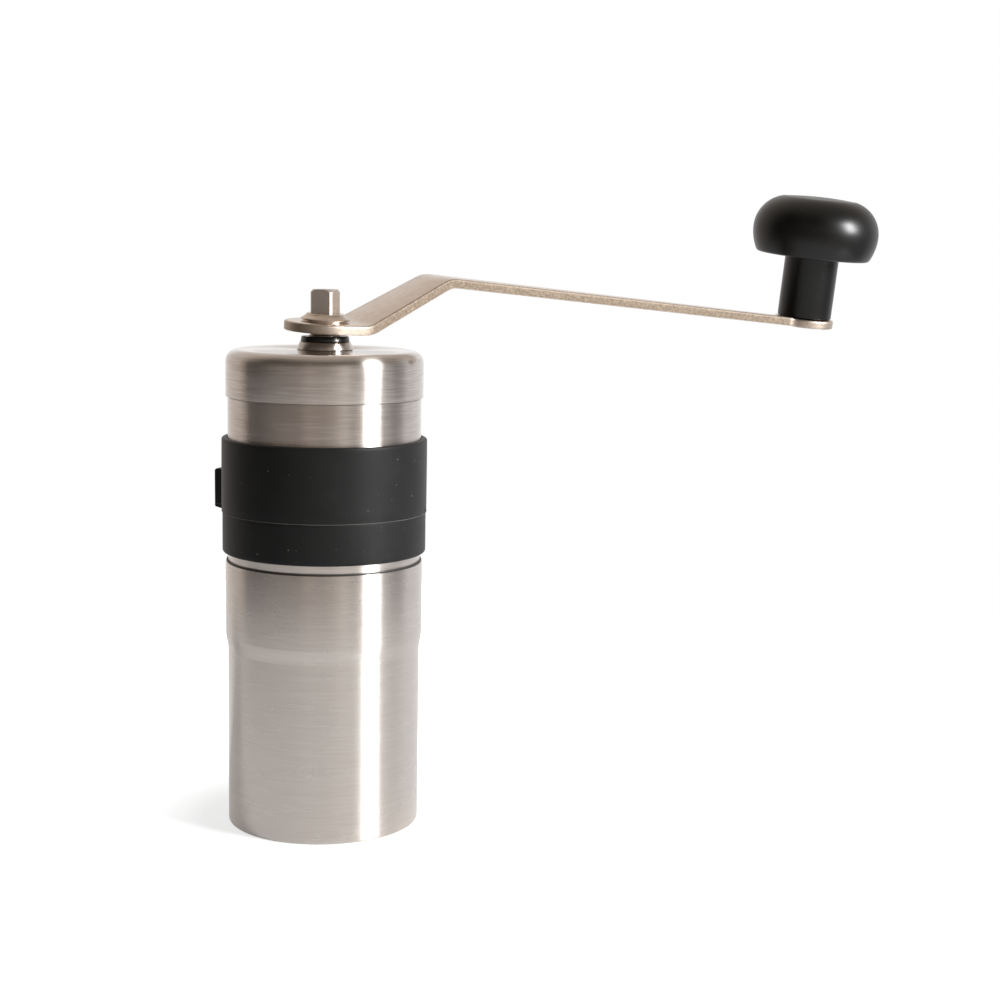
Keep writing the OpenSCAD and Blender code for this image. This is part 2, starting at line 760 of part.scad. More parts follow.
module knob() {
    rim_r = rim_d / 2;
    wide_r = head_d / 2;
    top_r = head_h - head_wide_h;
    side_in = wide_r - rim_r;
    side_r = (head_wide_h * head_wide_h + side_in * side_in) / (2 * side_in);
    edge_in = side_r - head_edge_r;
    edge_up = head_wide_h - head_edge_r;
    edge_x = wide_r - side_r + sqrt(edge_in * edge_in - edge_up * edge_up);
    side_z = head_edge_r * (1 - edge_up / edge_in);
    pocket_floor = clip_seat - end_gap - knob_up;
    total_h = stem_h + head_h;
    color("#1b1b1b")
    knob_frame() translate([0, 0, knob_up]) difference() {
        rotate_extrude() {
            square([stem_d / 2, stem_h + head_edge_r]);
            translate([0, stem_h]) intersection() {
                square([wide_r, head_h]);
                union() {
                    square([edge_x, head_wide_h]);
                    translate([edge_x, head_edge_r]) circle(head_edge_r);
                    intersection() {
                        translate([wide_r - side_r, head_wide_h]) circle(side_r, $fn = 200);
                        translate([0, side_z]) square([wide_r, head_wide_h - side_z]);
                    }
                    translate([wide_r - top_r, head_wide_h]) circle(top_r);
                    translate([0, head_wide_h]) square([wide_r - top_r, top_r]);
                }
            }
        }
        translate([0, 0, -total_h]) cylinder(r = pin_r + running_gap, h = 2 * total_h);
        translate([0, 0, pocket_floor]) cylinder(r = cap_d / 2 - pocket_edge, h = total_h);
        translate([0, 0, total_h - cap_t]) cylinder(d = cap_d + 2 * seat_gap, h = total_h);
    }
}

module knob_cap() {
    dome = 0.3;
    cap_r = cap_d / 2;
    flat_r = cap_r - dome;
    rings = 5;
    color("#1f1f1f")
    knob_frame() translate([0, 0, knob_up + stem_h + head_h - cap_t]) rotate_extrude() polygon(concat(
        [[0, seat_gap], [cap_r, seat_gap], [cap_r, cap_t - dome], [flat_r, cap_t]],
        [for (i = [1:rings]) let (t = 1 - i / rings) [flat_r * t, cap_t + dome * (1 - t * t)]]
    ));
}

grounds_cup();
hopper_tube();
rubber_band();
burr_housing();
outer_burr();
burr_retainer();
lower_bush();
lid();
lid_collar();
lid_bush();
drive_shaft();
shaft_clip();
upper_washer();
lower_washer();
burr_spring();
inner_burr();
burr_driver();
adjuster_nut();
nut_insert();
crank_arm();
hub_socket();
knob_pin();
pin_clip();
knob();
knob_cap();
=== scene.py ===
import math
from functools import partial

import bmesh
import bpy
import numpy as np
from mathutils import Matrix, Vector, noise


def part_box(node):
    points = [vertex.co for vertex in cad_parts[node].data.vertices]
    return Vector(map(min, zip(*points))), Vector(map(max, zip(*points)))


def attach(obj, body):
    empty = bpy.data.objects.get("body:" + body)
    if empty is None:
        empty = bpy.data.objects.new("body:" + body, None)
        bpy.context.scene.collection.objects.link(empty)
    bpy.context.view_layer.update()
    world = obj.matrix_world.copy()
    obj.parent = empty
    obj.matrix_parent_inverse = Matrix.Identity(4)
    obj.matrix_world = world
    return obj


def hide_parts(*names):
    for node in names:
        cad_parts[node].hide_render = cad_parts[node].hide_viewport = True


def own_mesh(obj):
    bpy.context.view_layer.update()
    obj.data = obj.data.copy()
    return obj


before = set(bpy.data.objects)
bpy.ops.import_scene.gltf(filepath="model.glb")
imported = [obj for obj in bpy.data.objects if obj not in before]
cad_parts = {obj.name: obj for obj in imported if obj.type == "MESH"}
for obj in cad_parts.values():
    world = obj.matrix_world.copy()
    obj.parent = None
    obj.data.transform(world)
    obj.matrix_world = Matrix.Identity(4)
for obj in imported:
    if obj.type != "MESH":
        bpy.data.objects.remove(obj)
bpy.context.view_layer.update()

MM = 0.001
TAU = 2 * math.pi
CIRCLE_STEPS = 240
scene = bpy.context.scene
scene.view_settings.view_transform = "Standard"


# ---- camera

# Half a metre in front of the grinder, a little above its lid, looking slightly down. Angles in radians.
CAMERA_PLACE = Vector((38.676, -458.534, 146.904)) * MM
CAMERA_YAW, CAMERA_PITCH, CAMERA_ROLL = 0.01170, 0.13960, 0.017
CAMERA_LENS, CAMERA_SENSOR = 66.35, 36


def add_object(name, data):
    thing = bpy.data.objects.new(name, data)
    scene.collection.objects.link(thing)
    return thing


def add_camera():
    data = bpy.data.cameras.new("studio_camera")
    data.sensor_width = CAMERA_SENSOR
    data.lens = CAMERA_LENS
    data.clip_start = 20 * MM
    camera = add_object("studio_camera", data)
    camera.matrix_world = (
        Matrix.Translation(CAMERA_PLACE) @ Matrix.Rotation(-CAMERA_YAW, 4, "Z")
        @ Matrix.Rotation(TAU / 4 - CAMERA_PITCH, 4, "X") @ Matrix.Rotation(CAMERA_ROLL, 4, "Z"))
    scene.camera = camera


add_camera()


# ---- materials

def linear(hexcode):
    """An sRGB hex colour as the linear colour that a shader wants."""
    parts = [int(hexcode[i:i + 2], 16) / 255 for i in (1, 3, 5)]
    return tuple(
        c / 12.92 if c <= 0.04045 else ((c + 0.055) / 1.055) ** 2.4 for c in parts
    ) + (1.0,)


def add_node(tree, kind, inputs=(), stops=(), **settings):
    """Adds a node and gives its outputs. Inputs come in order, or by name or number. One that is another
    node's output is linked, and a value is set. Stops are the places and colours of a colour ramp. On a
    Mix node, input 0 is the share of the second, 2 and 3 are numbers, and 6 and 7 are colours."""
    node = tree.nodes.new(kind)
    for name, value in settings.items():
        setattr(node, name, value)
    for key, value in inputs.items() if isinstance(inputs, dict) else enumerate(inputs):
        if isinstance(value, bpy.types.NodeSocket):
            tree.links.new(value, node.inputs[key])
        else:
            node.inputs[key].default_value = value
    for number, (place, colour) in enumerate(stops):
        bands = node.color_ramp.elements
        band = bands[number] if number < len(bands) else bands.new(place)
        band.position = place
        band.color = linear(colour)
    return node.outputs


def new_material(name, finish, *looks):
    """A material whose main shader gets what a finish works out from the place of each point."""
    material = bpy.data.materials.new(name)
    material.use_nodes = True
    material.node_tree.nodes.clear()
    add = partial(add_node, material.node_tree)
    inputs = finish(add, add("ShaderNodeTexCoord")["Object"], *looks)
    shader = add("ShaderNodeBsdfPrincipled", inputs)[0]
    add("ShaderNodeOutputMaterial", {"Surface": shader})
    return material


def brushed_steel(add, place, dark, base, light, rough):
    """Stainless steel sheet, satin brushed while it turned on a lathe: fine lines run round it,
    so what it mirrors is smeared up and down and stays crisp sideways."""
    x, y, z = add("ShaderNodeSeparateXYZ", (place,))
    outward = add("ShaderNodeCombineXYZ", {"X": x, "Y": y})[0]
    radius = add("ShaderNodeVectorMath", (outward,), operation="LENGTH")["Value"]
    across = add("ShaderNodeMath", (z, radius), operation="SUBTRACT")[0]
    wrapped = add("ShaderNodeCombineXYZ", {"X": x, "Y": y, "Z": across})[0]

    def streaks(long_mm, wide_mm, detail):
        per_metre = [1 / (size * MM) for size in (long_mm, long_mm, wide_mm)]
        drawn_out = add("ShaderNodeVectorMath", (wrapped, per_metre), operation="MULTIPLY")[0]
        return add("ShaderNodeTexNoise", {
            "Vector": drawn_out, "Scale": 1.0, "Detail": detail, "Roughness": 0.6})["Fac"]

    # The real lines are 0.1 mm apart, too fine to show: these are 0.38 mm apart and 10 mm long.
    lines = streaks(10, 0.38, 3.0)
    # Here and there the belt bit harder, in patches 16 mm long and 5 mm high.
    patches = streaks(16, 5, 2.0)
    both = add("ShaderNodeMix", {0: 0.25, 2: lines, 3: patches})[0]
    colour = add("ShaderNodeValToRGB", {"Fac": both}, [(0.36, dark), (0.5, base), (0.64, light)])[0]
    # A flat top is brushed finer than the walls.
    normal = add("ShaderNodeNewGeometry")["Normal"]
    facing = add("ShaderNodeSeparateXYZ", (normal,))["Z"]
    by_face = add("ShaderNodeMapRange", {
        "Value": facing, "From Min": 0.8, "To Min": rough, "To Max": rough * 0.5})[0]
    by_patch = add("ShaderNodeMapRange", {
        "Value": patches, "From Min": 0.3, "From Max": 0.7, "To Min": 0.96, "To Max": 1.04})[0]
    roughness = add("ShaderNodeMath", (by_face, by_patch), operation="MULTIPLY")[0]
    bump = add("ShaderNodeBump", {"Strength": 0.05, "Distance": 0.02 * MM, "Height": lines})[0]
    tangent = add("ShaderNodeTangent", direction_type="RADIAL", axis="Z")[0]
    return {"Base Color": colour, "Metallic": 1.0, "Roughness": roughness, "Anisotropic": 0.95,
            "Anisotropic Rotation": 0.25, "Normal": bump, "Tangent": tangent}


def nickel_plate(add, place):
    """Bright nickel over stamped steel: warm and satin on the rolled faces, and on the sheared
    edge a torn, grainy band under the polished corner."""
    edge = add("ShaderNodeAttribute", attribute_name="sheared")["Fac"]
    # The rolled sheet is mottled over 2.2 mm. The sheared edge has tears of 0.9 mm and pits of 0.55 mm.
    mottle = add("ShaderNodeTexNoise", {
        "Vector": place, "Scale": 1 / (2.2 * MM), "Detail": 4.0, "Roughness": 0.6})["Fac"]
    tears = add("ShaderNodeTexNoise", {
        "Vector": place, "Scale": 1 / (0.9 * MM), "Detail": 5.0, "Roughness": 0.7})["Fac"]
    pits = add("ShaderNodeTexVoronoi", {"Vector": place, "Scale": 1 / (0.55 * MM)})["Distance"]
    pitted = add("ShaderNodeMath", (pits, 0.45), operation="MULTIPLY")[0]
    grain = add("ShaderNodeMath", (tears, 0.7, pitted), operation="MULTIPLY_ADD")[0]
    low_relief = add("ShaderNodeMath", (mottle, 0.03), operation="MULTIPLY")[0]
    height = add("ShaderNodeMix", {0: edge, 2: low_relief, 3: grain})[0]
    plated, worn = [add("ShaderNodeValToRGB", {"Fac": value}, stops)[0] for value, stops in (
        (mottle, [(0.3, "#cbbcae"), (0.5, "#d3c5b8"), (0.75, "#dacec3")]),
        (grain, [(0.3, "#786c60"), (0.55, "#908375"), (0.8, "#a39687")]))]
    colour = add("ShaderNodeMix", {0: edge, 6: plated, 7: worn}, data_type="RGBA")[2]
    roughness = add("ShaderNodeMapRange", {"Value": edge, "To Min": 0.26, "To Max": 0.75})[0]
    bump = add("ShaderNodeBump", {"Strength": 0.6, "Distance": 0.05 * MM, "Height": height})[0]
    return {"Base Color": colour, "Metallic": 1.0, "Roughness": roughness, "Normal": bump}


def turned_metal(add, place, base, rough):
    """Bright bar, turned or ground: nearly a mirror with fine tool lines and a faint stain."""
    # Tool lines are 0.12 mm apart and about 17 mm long.
    along, over = 60, 1 / (0.12 * MM)
    drawn_out = add("ShaderNodeMapping", {"Vector": place, "Scale": (along, along, over)})[0]
    lines = add("ShaderNodeTexNoise", {"Vector": drawn_out, "Scale": 1.0, "Detail": 2.0})["Fac"]
    stain = add("ShaderNodeTexNoise", {"Vector": place, "Scale": 1 / (4 * MM), "Detail": 3.0})["Fac"]
    clean = linear(base)
    dull = [c * 0.82 for c in clean[:3]] + [1.0]
    colour = add("ShaderNodeMix", {0: stain, 6: dull, 7: clean}, data_type="RGBA")[2]
    roughness = add("ShaderNodeMapRange", {
        "Value": lines, "From Min": 0.3, "From Max": 0.7, "To Min": rough * 0.8, "To Max": rough * 1.3})[0]
    bump = add("ShaderNodeBump", {"Strength": 0.25, "Distance": 0.01 * MM, "Height": lines})[0]
    return {"Base Color": colour, "Metallic": 1.0, "Roughness": roughness, "Normal": bump}


# The band's moulded step stands this far above its lower end, in mm.
BAND_STEP = 10.1


def silicone_rubber(add, place):
    """Moulded black silicone rubber: matt, slightly grey, with specks of dust and lint, and a painted
    highlight on its step.
    """
    skin = add("ShaderNodeTexNoise", {
        "Vector": place, "Scale": 1 / (0.35 * MM), "Detail": 3.0, "Roughness": 0.6})["Fac"]
    cloud = add("ShaderNodeTexNoise", {"Vector": place, "Scale": 1 / (9 * MM), "Detail": 3.0})["Fac"]
    body = add("ShaderNodeValToRGB", {"Fac": cloud}, [(0.3, "#151515"), (0.7, "#1b1b1b")])[0]

    def specks(apart_mm, reach, share, strength):
        """Round specks in some of the cells of a scatter, each of its own size and paleness."""
        cell = add("ShaderNodeTexVoronoi", {"Vector": place, "Scale": 1 / (apart_mm * MM)})
        pick, paleness, size = add("ShaderNodeSeparateColor", (cell["Color"],))
        radius = add("ShaderNodeMath", (size, reach), operation="MULTIPLY")[0]
        spot = add("ShaderNodeMath", (cell["Distance"], radius), operation="LESS_THAN")[0]
        chosen = add("ShaderNodeMath", (pick, share), operation="LESS_THAN")[0]
        speck = add("ShaderNodeMath", (spot, chosen), operation="MULTIPLY")[0]
        faint = add("ShaderNodeMath", (paleness, 2.0), operation="POWER")[0]
        pale = add("ShaderNodeMath", (faint, strength), operation="MULTIPLY")[0]
        return add("ShaderNodeMath", (speck, pale), operation="MULTIPLY")[0]

    # Dust lies in specks up to 0.35 mm across, with finer, fainter ones between them.
    coarse, fine = specks(1.7, 0.11, 0.6, 1.0), specks(0.8, 0.16, 0.4, 0.3)
    scattered = add("ShaderNodeMath", (coarse, fine))[0]
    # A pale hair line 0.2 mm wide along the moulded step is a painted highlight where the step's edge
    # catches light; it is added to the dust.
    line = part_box("rubber_band")[0][2] + (BAND_STEP + 0.04) * MM
    height = add("ShaderNodeSeparateXYZ", (place,))["Z"]
    above = add("ShaderNodeMath", (height, line), operation="SUBTRACT")[0]
    off = add("ShaderNodeMath", (above,), operation="ABSOLUTE")[0]
    # Painted highlight: pale near the step's height and fading out 0.14 mm above and below it.
    near = add("ShaderNodeMapRange", {
        "Value": off, "From Min": 0.04 * MM, "From Max": 0.14 * MM, "To Min": 0.42, "To Max": 0.0})[0]
    dust_and_step_highlight = add("ShaderNodeMath", (near, cloud, scattered), operation="MULTIPLY_ADD")[0]
    colour = add("ShaderNodeMix", {0: dust_and_step_highlight, 6: body, 7: linear("#a39e98")}, data_type="RGBA")[2]
    bump = add("ShaderNodeBump", {"Strength": 0.35, "Distance": 0.03 * MM, "Height": skin})[0]
    return {"Base Color": colour, "Roughness": 0.47, "IOR": 1.3, "Normal": bump}


def moulded_plastic(add, place, low, high, rough, ior, grain_mm, depth):
    """Injection-moulded plastic: an even colour with a fine moulded skin."""
    skin = add("ShaderNodeTexNoise", {"Vector": place, "Scale": 1 / (grain_mm * MM), "Detail": 2.0})["Fac"]
    cloud = add("ShaderNodeTexNoise", {"Vector": place, "Scale": 1 / (7 * MM), "Detail": 2.0})["Fac"]
    colour = add("ShaderNodeValToRGB", {"Fac": cloud}, [(0.3, low), (0.7, high)])[0]
    roughness = add("ShaderNodeMapRange", {
        "Value": cloud, "From Min": 0.3, "From Max": 0.7, "To Min": rough * 0.92, "To Max": rough * 1.08})[0]
    bump = add("ShaderNodeBump", {"Strength": depth, "Distance": 0.02 * MM, "Height": skin})[0]
    return {"Base Color": colour, "Roughness": roughness, "IOR": ior, "Normal": bump}


def fired_zirconia(add, place):
    """Pressed and fired zirconia: off-white, dense and faintly mottled."""
    cloud = add("ShaderNodeTexNoise", {"Vector": place, "Scale": 1 / (3 * MM), "Detail": 4.0})["Fac"]
    grit = add("ShaderNodeTexNoise", {"Vector": place, "Scale": 1 / (0.25 * MM), "Detail": 2.0})["Fac"]
    colour = add("ShaderNodeValToRGB", {"Fac": cloud}, [(0.3, "#ddd8cd"), (0.7, "#ece8df")])[0]
    bump = add("ShaderNodeBump", {"Strength": 0.3, "Distance": 0.03 * MM, "Height": grit})[0]
    return {"Base Color": colour, "Roughness": 0.38, "IOR": 1.7, "Normal": bump}


# By slot in the record: the material's name, its finish and the looks it has there. Steel: dark, mean
# and light streaks, and roughness. Turned metal: colour and roughness. Plastic: its two near shades,
# roughness, IOR, grain in mm and how deep the grain is.
FINISHES = {slot: new_material(*row) for slot, row in {
    "cup_steel": ("cup_brushed_steel", brushed_steel, "#cac3bd", "#cec7c1", "#d2ccc6", 0.27),
    "tube_steel": ("tube_brushed_steel", brushed_steel, "#c3bbb4", "#ccc5bf", "#d5cec9", 0.26),
    "lid_steel": ("lid_brushed_steel", brushed_steel, "#c0b8b1", "#ccc5bf", "#d7d1cc", 0.25),
    "collar_steel": ("collar_turned_steel", turned_metal, "#c9c1b8", 0.16),
    "shaft_steel": ("shaft_ground_steel", turned_metal, "#dbd3cb", 0.45),
    "spring_steel": ("spring_wire_steel", turned_metal, "#b5b0aa", 0.22),
    "arm_nickel": ("arm_nickel_plate", nickel_plate),
    "band_rubber": ("band_silicone_rubber", silicone_rubber),
    "housing_plastic": ("housing_nylon", moulded_plastic, "#1e1e1e", "#262625", 0.5, 1.53, 0.4, 0.3),
    "nut_plastic": ("nut_nylon", moulded_plastic, "#191919", "#222221", 0.48, 1.53, 0.4, 0.3),
    "knob_plastic": ("knob_phenolic", moulded_plastic, "#080808", "#0b0b0b", 0.33, 1.42, 0.3, 0.05),
    "bush_plastic": ("bush_acetal", moulded_plastic, "#0b1010", "#0f1514", 0.22, 1.48, 0.3, 0.1),
    "burr_ceramic": ("burr_zirconia", fired_zirconia),
    "bush_bronze": ("bush_sintered_bronze", turned_metal, "#b8925c", 0.35),
    "insert_brass": ("insert_turned_brass", turned_metal, "#c9a35a", 0.25),
}.items()}


# ---- shapes

def polar(r, turn, z):
    """A point by its distance from the axis, its angle round it and its height."""
    return Vector((r * math.cos(turn), r * math.sin(turn), z))


def arc(x, z, r, start, end, steps=8):
    """Points (r, z) of an arc, angles in degrees."""
    turns = [math.radians(start + (end - start) * i / steps) for i in range(steps + 1)]
    return [(x + r * math.cos(t), z + r * math.sin(t)) for t in turns]


def swage(r_low, r_high, z_low, z_high, steps=12, ease=0.35):
    """A drawn change of radius between two heights: nearly a cone, with eased ends."""
    points = []
    for i in range(steps + 1):
        u = i / steps
        eased = (1 - math.cos(math.pi * u)) / 2
        grown_by = ease * eased + (1 - ease) * u
        points.append((r_low + (r_high - r_low) * grown_by, z_low + (z_high - z_low) * u))
    return points


def rounded(corners, steps=5):
    """A closed outline of (r, z, fillet radius) corners, with each corner rounded."""
    points = []
    for i, (x, z, fillet) in enumerate(corners):
        here = Vector((x, z))
        before, after = Vector(corners[i - 1][:2]), Vector(corners[(i + 1) % len(corners)][:2])
        if not fillet:
            points.append((x, z))
            continue
        a, b = (before - here).normalized(), (after - here).normalized()
        half = a.angle(b) / 2
        reach = fillet / math.tan(half)
        centre = here + (a + b).normalized() * (fillet / math.sin(half))
        start, end = here + a * reach - centre, here + b * reach - centre
        for k in range(steps + 1):
            step = start.normalized().slerp(end.normalized(), k / steps) * fillet
            points.append((centre.x + step.x, centre.y + step.y))
    return points


def bridge(mesh, rings):
    """Faces from each ring of vertices to the next. A ring of one vertex is a pole."""
    for low, high in zip(rings, rings[1:]):
        for i in range(max(len(low), len(high))):
            corners = (low, i), (low, i + 1), (high, i + 1), (high, i)
            face = list(dict.fromkeys(ring[k % len(ring)] for ring, k in corners))
            if len(face) > 2:
                mesh.faces.new(face)


def lofted(rings, capped=False):
    """A closed skin over rings of points in millimetres. It ends in its poles or its capped ends, or
    its last ring joins its first."""
    mesh = bmesh.new()
    rings = [[mesh.verts.new(Vector(point) * MM) for point in ring] for ring in rings]
    joins_up = not capped and len(rings[0]) > 1
    bridge(mesh, rings + rings[:1] if joins_up else rings)
    if capped:
        mesh.faces.new(rings[0])
        mesh.faces.new(rings[-1])
    bmesh.ops.recalc_face_normals(mesh, faces=mesh.faces)
    return mesh


def turned(rows, count=CIRCLE_STEPS, place=Matrix.Identity(4)):
    """A mesh turned about the axis from rows of (radius, height) in millimetres. A radius may be a
    function of the angle, and a row of radius 0 is a pole."""
    turns = [TAU * i / count for i in range(count)]

    def ring(radius, height):
        if radius == 0:
            return [(0, 0, height)]
        return [polar(radius(t) if callable(radius) else radius, t, height) for t in turns]

    mesh = lofted([ring(*row) for row in rows])
    mesh.transform(place)
    return mesh


def plain_mesh(mesh):
    """A mesh that an object can show. A bmesh becomes one, and a mesh is one."""
    if isinstance(mesh, bpy.types.Mesh):
        return mesh
    data = bpy.data.meshes.new("draft")
    mesh.to_mesh(data)
    mesh.free()
    return data


def evaluated_mesh(draft):
    """What an object's modifiers make of it, as a plain mesh. The object itself goes."""
    bpy.context.view_layer.update()
    depsgraph = bpy.context.evaluated_depsgraph_get()
    result = bpy.data.meshes.new_from_object(draft.evaluated_get(depsgraph))
    bpy.data.objects.remove(draft)
    return result


def joined(*meshes):
    """Several meshes as one bmesh."""
    whole = bmesh.new()
    for mesh in meshes:
        whole.from_mesh(plain_mesh(mesh))
    return whole


def finish_piece(name, mesh, body, slot, nodes=(), sharp=35):
    """Makes a mesh a piece on its body, with smooth faces and crisp edges."""
    data = plain_mesh(mesh)
    data.name = name
    data.shade_smooth()
    data.set_sharp_from_angle(angle=math.radians(sharp))
    data.materials.clear()
    data.materials.append(FINISHES[slot])
    piece = add_object(name, data)
    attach(piece, body)
    if nodes:
        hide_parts(*nodes)
    return piece


def softened(name, node, body, slot, width_mm, segments=2):
    """A CAD node's own shape with its edges broken by a small bevel."""
    weld_mm, flat_deg, edge_deg = 0.004, 1.0, 35
    mesh = bmesh.new()
    mesh.from_mesh(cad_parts[node].data)
    bmesh.ops.remove_doubles(mesh, verts=mesh.verts, dist=weld_mm * MM)
    bmesh.ops.dissolve_limit(mesh, angle_limit=math.radians(flat_deg), verts=mesh.verts, edges=mesh.edges)
    draft = add_object("draft", plain_mesh(mesh))
    bevel = draft.modifiers.new("broken_edges", "BEVEL")
    bevel.width = width_mm * MM
    bevel.segments = segments
    bevel.limit_method = "ANGLE"
    bevel.angle_limit = math.radians(edge_deg)
    finish_piece(name, evaluated_mesh(draft), body, slot, [node])


def box_mm(node):
    """A CAD node's lowest and highest corners, in millimetres."""
    low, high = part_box(node)
    return low / MM, high / MM


# ---- geometry node trees

def tree_with(name, **kinds):
    """A Geometry Nodes tree with a mesh in, a mesh out and inputs of these names and kinds, what adds its
    nodes, and what it is given."""
    tree = bpy.data.node_groups.new(name, "GeometryNodeTree")
    tree.interface.new_socket("Geometry", in_out="INPUT", socket_type="NodeSocketGeometry")
    for label, kind in kinds.items():
        tree.interface.new_socket(label.replace("_", " "), in_out="INPUT", socket_type="NodeSocket" + kind)
    tree.interface.new_socket("Finish", in_out="INPUT", socket_type="NodeSocketMaterial")
    tree.interface.new_socket("Geometry", in_out="OUTPUT", socket_type="NodeSocketGeometry")
    add = partial(add_node, tree)
    return tree, add, add("NodeGroupInput")


def close_tree(add, given, shape):
    """Ends a tree with a plain mesh in its finish."""
    real = add("GeometryNodeRealizeInstances", {"Geometry": shape})[0]
    done = add("GeometryNodeSetMaterial", {"Geometry": real, "Material": given["Finish"]})[0]
    add("NodeGroupOutput", {"Geometry": done})


def wound_wire_tree():
    """A wire wound round the axis, with level turns at each end, as a spring or a thread has."""
    tree, add, given = tree_with(
        "wound_wire", Turns="Float", Coil_Radius="Float", Wire_Radius="Float", Wire_Sides="Int",
        Low="Float", High="Float", Level_Share="Float")
    spiral = add("GeometryNodeCurveSpiral", {
        "Resolution": 64, "Rotations": given["Turns"], "Start Radius": given["Coil Radius"],
        "End Radius": given["Coil Radius"], "Height": 0.0})[0]
    along = add("GeometryNodeSplineParameter")["Factor"]
    top = add("ShaderNodeMath", (1.0, given["Level Share"]), operation="SUBTRACT")[0]
    height = add("ShaderNodeMapRange", {
        "Value": along, "From Min": given["Level Share"], "From Max": top, "To Min": given["Low"],
        "To Max": given["High"]})[0]
    here = add("GeometryNodeInputPosition")[0]
    x, y = add("ShaderNodeSeparateXYZ", (here,))[:2]
    lifted = add("ShaderNodeCombineXYZ", {"X": x, "Y": y, "Z": height})[0]
    wound = add("GeometryNodeSetPosition", {"Geometry": spiral, "Position": lifted})[0]
    section = add("GeometryNodeCurvePrimitiveCircle", {
        "Resolution": given["Wire Sides"], "Radius": given["Wire Radius"]})[0]
    swept = add("GeometryNodeCurveToMesh", {"Curve": wound, "Profile Curve": section, "Fill Caps": True})[0]
    close_tree(add, given, swept)
    return tree


def round_the_axis_tree():
    """Copies of one tooth, lobe or rib, evenly turned about the axis."""
    tree, add, given = tree_with("round_the_axis", Count="Int", First_Angle="Float")
    points = add("GeometryNodePoints", {"Count": given["Count"]})[0]
    index = add("GeometryNodeInputIndex")[0]
    step = add("ShaderNodeMath", (TAU, given["Count"]), operation="DIVIDE")[0]
    angle = add("ShaderNodeMath", (index, step, given["First Angle"]), operation="MULTIPLY_ADD")[0]
    turn = add("ShaderNodeCombineXYZ", {"Z": angle})[0]
    copies = add("GeometryNodeInstanceOnPoints", {
        "Points": points, "Instance": given["Geometry"], "Rotation": turn})[0]
    close_tree(add, given, copies)
    return tree


def grown(tree, values, start=None):
    """The plain mesh that a tree makes, with its named inputs set before it is first worked out."""
    seed = add_object("seed", plain_mesh(bmesh.new() if start is None else start))
    modifier = seed.modifiers.new("grow", "NODES")
    modifier.node_group = tree
    for item in tree.interface.items_tree:
        if item.in_out == "INPUT" and item.name in values:
            modifier[item.identifier] = values[item.name]
    return evaluated_mesh(seed)


wound_wire = wound_wire_tree()
round_the_axis = round_the_axis_tree()


# ---- cup and tube

STEEL_SHEET = 0.8


def grounds_cup():
    low, high = box_mm("grounds_cup")
    mouth_r, rim, base = high.x, high.z, low.z
    step, bell_depth, bell_run = 0.6, 18.3, 4
    foot_edge, outer_lip, inner_lip, inner_foot = 0.6, 0.12, 0.2, 3
    lower_r = mouth_r - step
    bell_top = rim - bell_depth
    bell_low = bell_top - bell_run
    inner_r, inner_low_r, floor = mouth_r - STEEL_SHEET, lower_r - STEEL_SHEET, base + STEEL_SHEET
    outline = (
        [(0, base)]
        + arc(lower_r - foot_edge, base + foot_edge, foot_edge, -90, 0, 6)
        + swage(lower_r, mouth_r, bell_low, bell_top)
        + arc(mouth_r - outer_lip, rim - outer_lip, outer_lip, 0, 90, 4)
        + arc(inner_r + inner_lip, rim - inner_lip, inner_lip, 90, 180, 4)
        + swage(inner_r, inner_low_r, bell_top, bell_low)
        + arc(inner_low_r - inner_foot, floor + inner_foot, inner_foot, 0, -90, 8)
        + [(0, floor)])
    finish_piece("grounds_cup_shell", turned(outline), "cup", "cup_steel", ["grounds_cup"])


def hopper_tube():
    low, high = box_mm("hopper_tube")
    r, neck_h, neck_step = high.x, 7, 0.6
    overhang, lid_gap = 0.08, 0.06
    shoulder, neck_r = high.z - neck_h, r - neck_step
    inner_r, inner_neck_r, inner_shoulder = r - STEEL_SHEET, neck_r - STEEL_SHEET, shoulder - STEEL_SHEET
    outline = rounded([
        (inner_r, low.z, 0.1), (r, low.z - overhang, 0.06), (r, shoulder - lid_gap, 0.08),
        (neck_r, shoulder - lid_gap, 0), (neck_r, high.z, 0.2), (inner_neck_r, high.z, 0.2),
        (inner_neck_r, inner_shoulder, 0), (inner_r, inner_shoulder, 0)])
    finish_piece("hopper_tube_shell", turned(outline), "grinder", "tube_steel", ["hopper_tube"])


# ---- rubber band

HOLDER_AZIMUTH, HOLDER_SPAN = 141, 48
BAND_WALL = 1.6


def band_sleeve(outer, line, low_z, high_z):
    """The sleeve on the tube, a little wider above its moulded step than below."""
    inner = outer - BAND_WALL + 0.02
    lower_r = outer - 0.2
    sleeve = turned(
        arc(inner + 0.3, low_z + 0.3, 0.3, 180, 270, 4)
        + arc(lower_r - 0.5, low_z + 0.5, 0.5, -90, 0, 5)
        + [(lower_r, line - 0.35), (lower_r - 0.02, line - 0.16)]
        + arc(outer - 0.14, line + 0.06, 0.16, -70, 70, 6)
        + [(outer - 0.09, line + 0.3), (outer - 0.05, line + 0.7)]
        + [(outer, line + 1.8), (outer, high_z - 1)]
        + arc(outer - 0.5, high_z - 0.5, 0.5, 0, 90, 5)
        + arc(inner + 0.35, high_z - 0.35, 0.35, 90, 180, 4), 320)
    tall = [e for e in sleeve.edges if abs(e.verts[0].co.z - e.verts[1].co.z) > 3 * MM]
    bmesh.ops.subdivide_edges(sleeve, edges=tall, cuts=12)
    # The moulding left it a little uneven, and a nib of flash stands at the line's right end.
    wave_h, waves_per_metre, sink = 0.05 * MM, 90, 0.03 * MM
    nib, nib_h, nib_r = polar(outer, math.radians(-6), line + 0.8) * MM, 0.28 * MM, 0.55 * MM
    for v in sleeve.verts:
        if v.co.xy.length > (inner + 0.5) * MM:
            wave = noise.noise(v.co * waves_per_metre) * wave_h
            swell = nib_h * math.exp(-((v.co - nib).length / nib_r) ** 2)
            v.co += Vector((v.co.x, v.co.y, 0)).normalized() * (wave + swell - sink)
    return sleeve


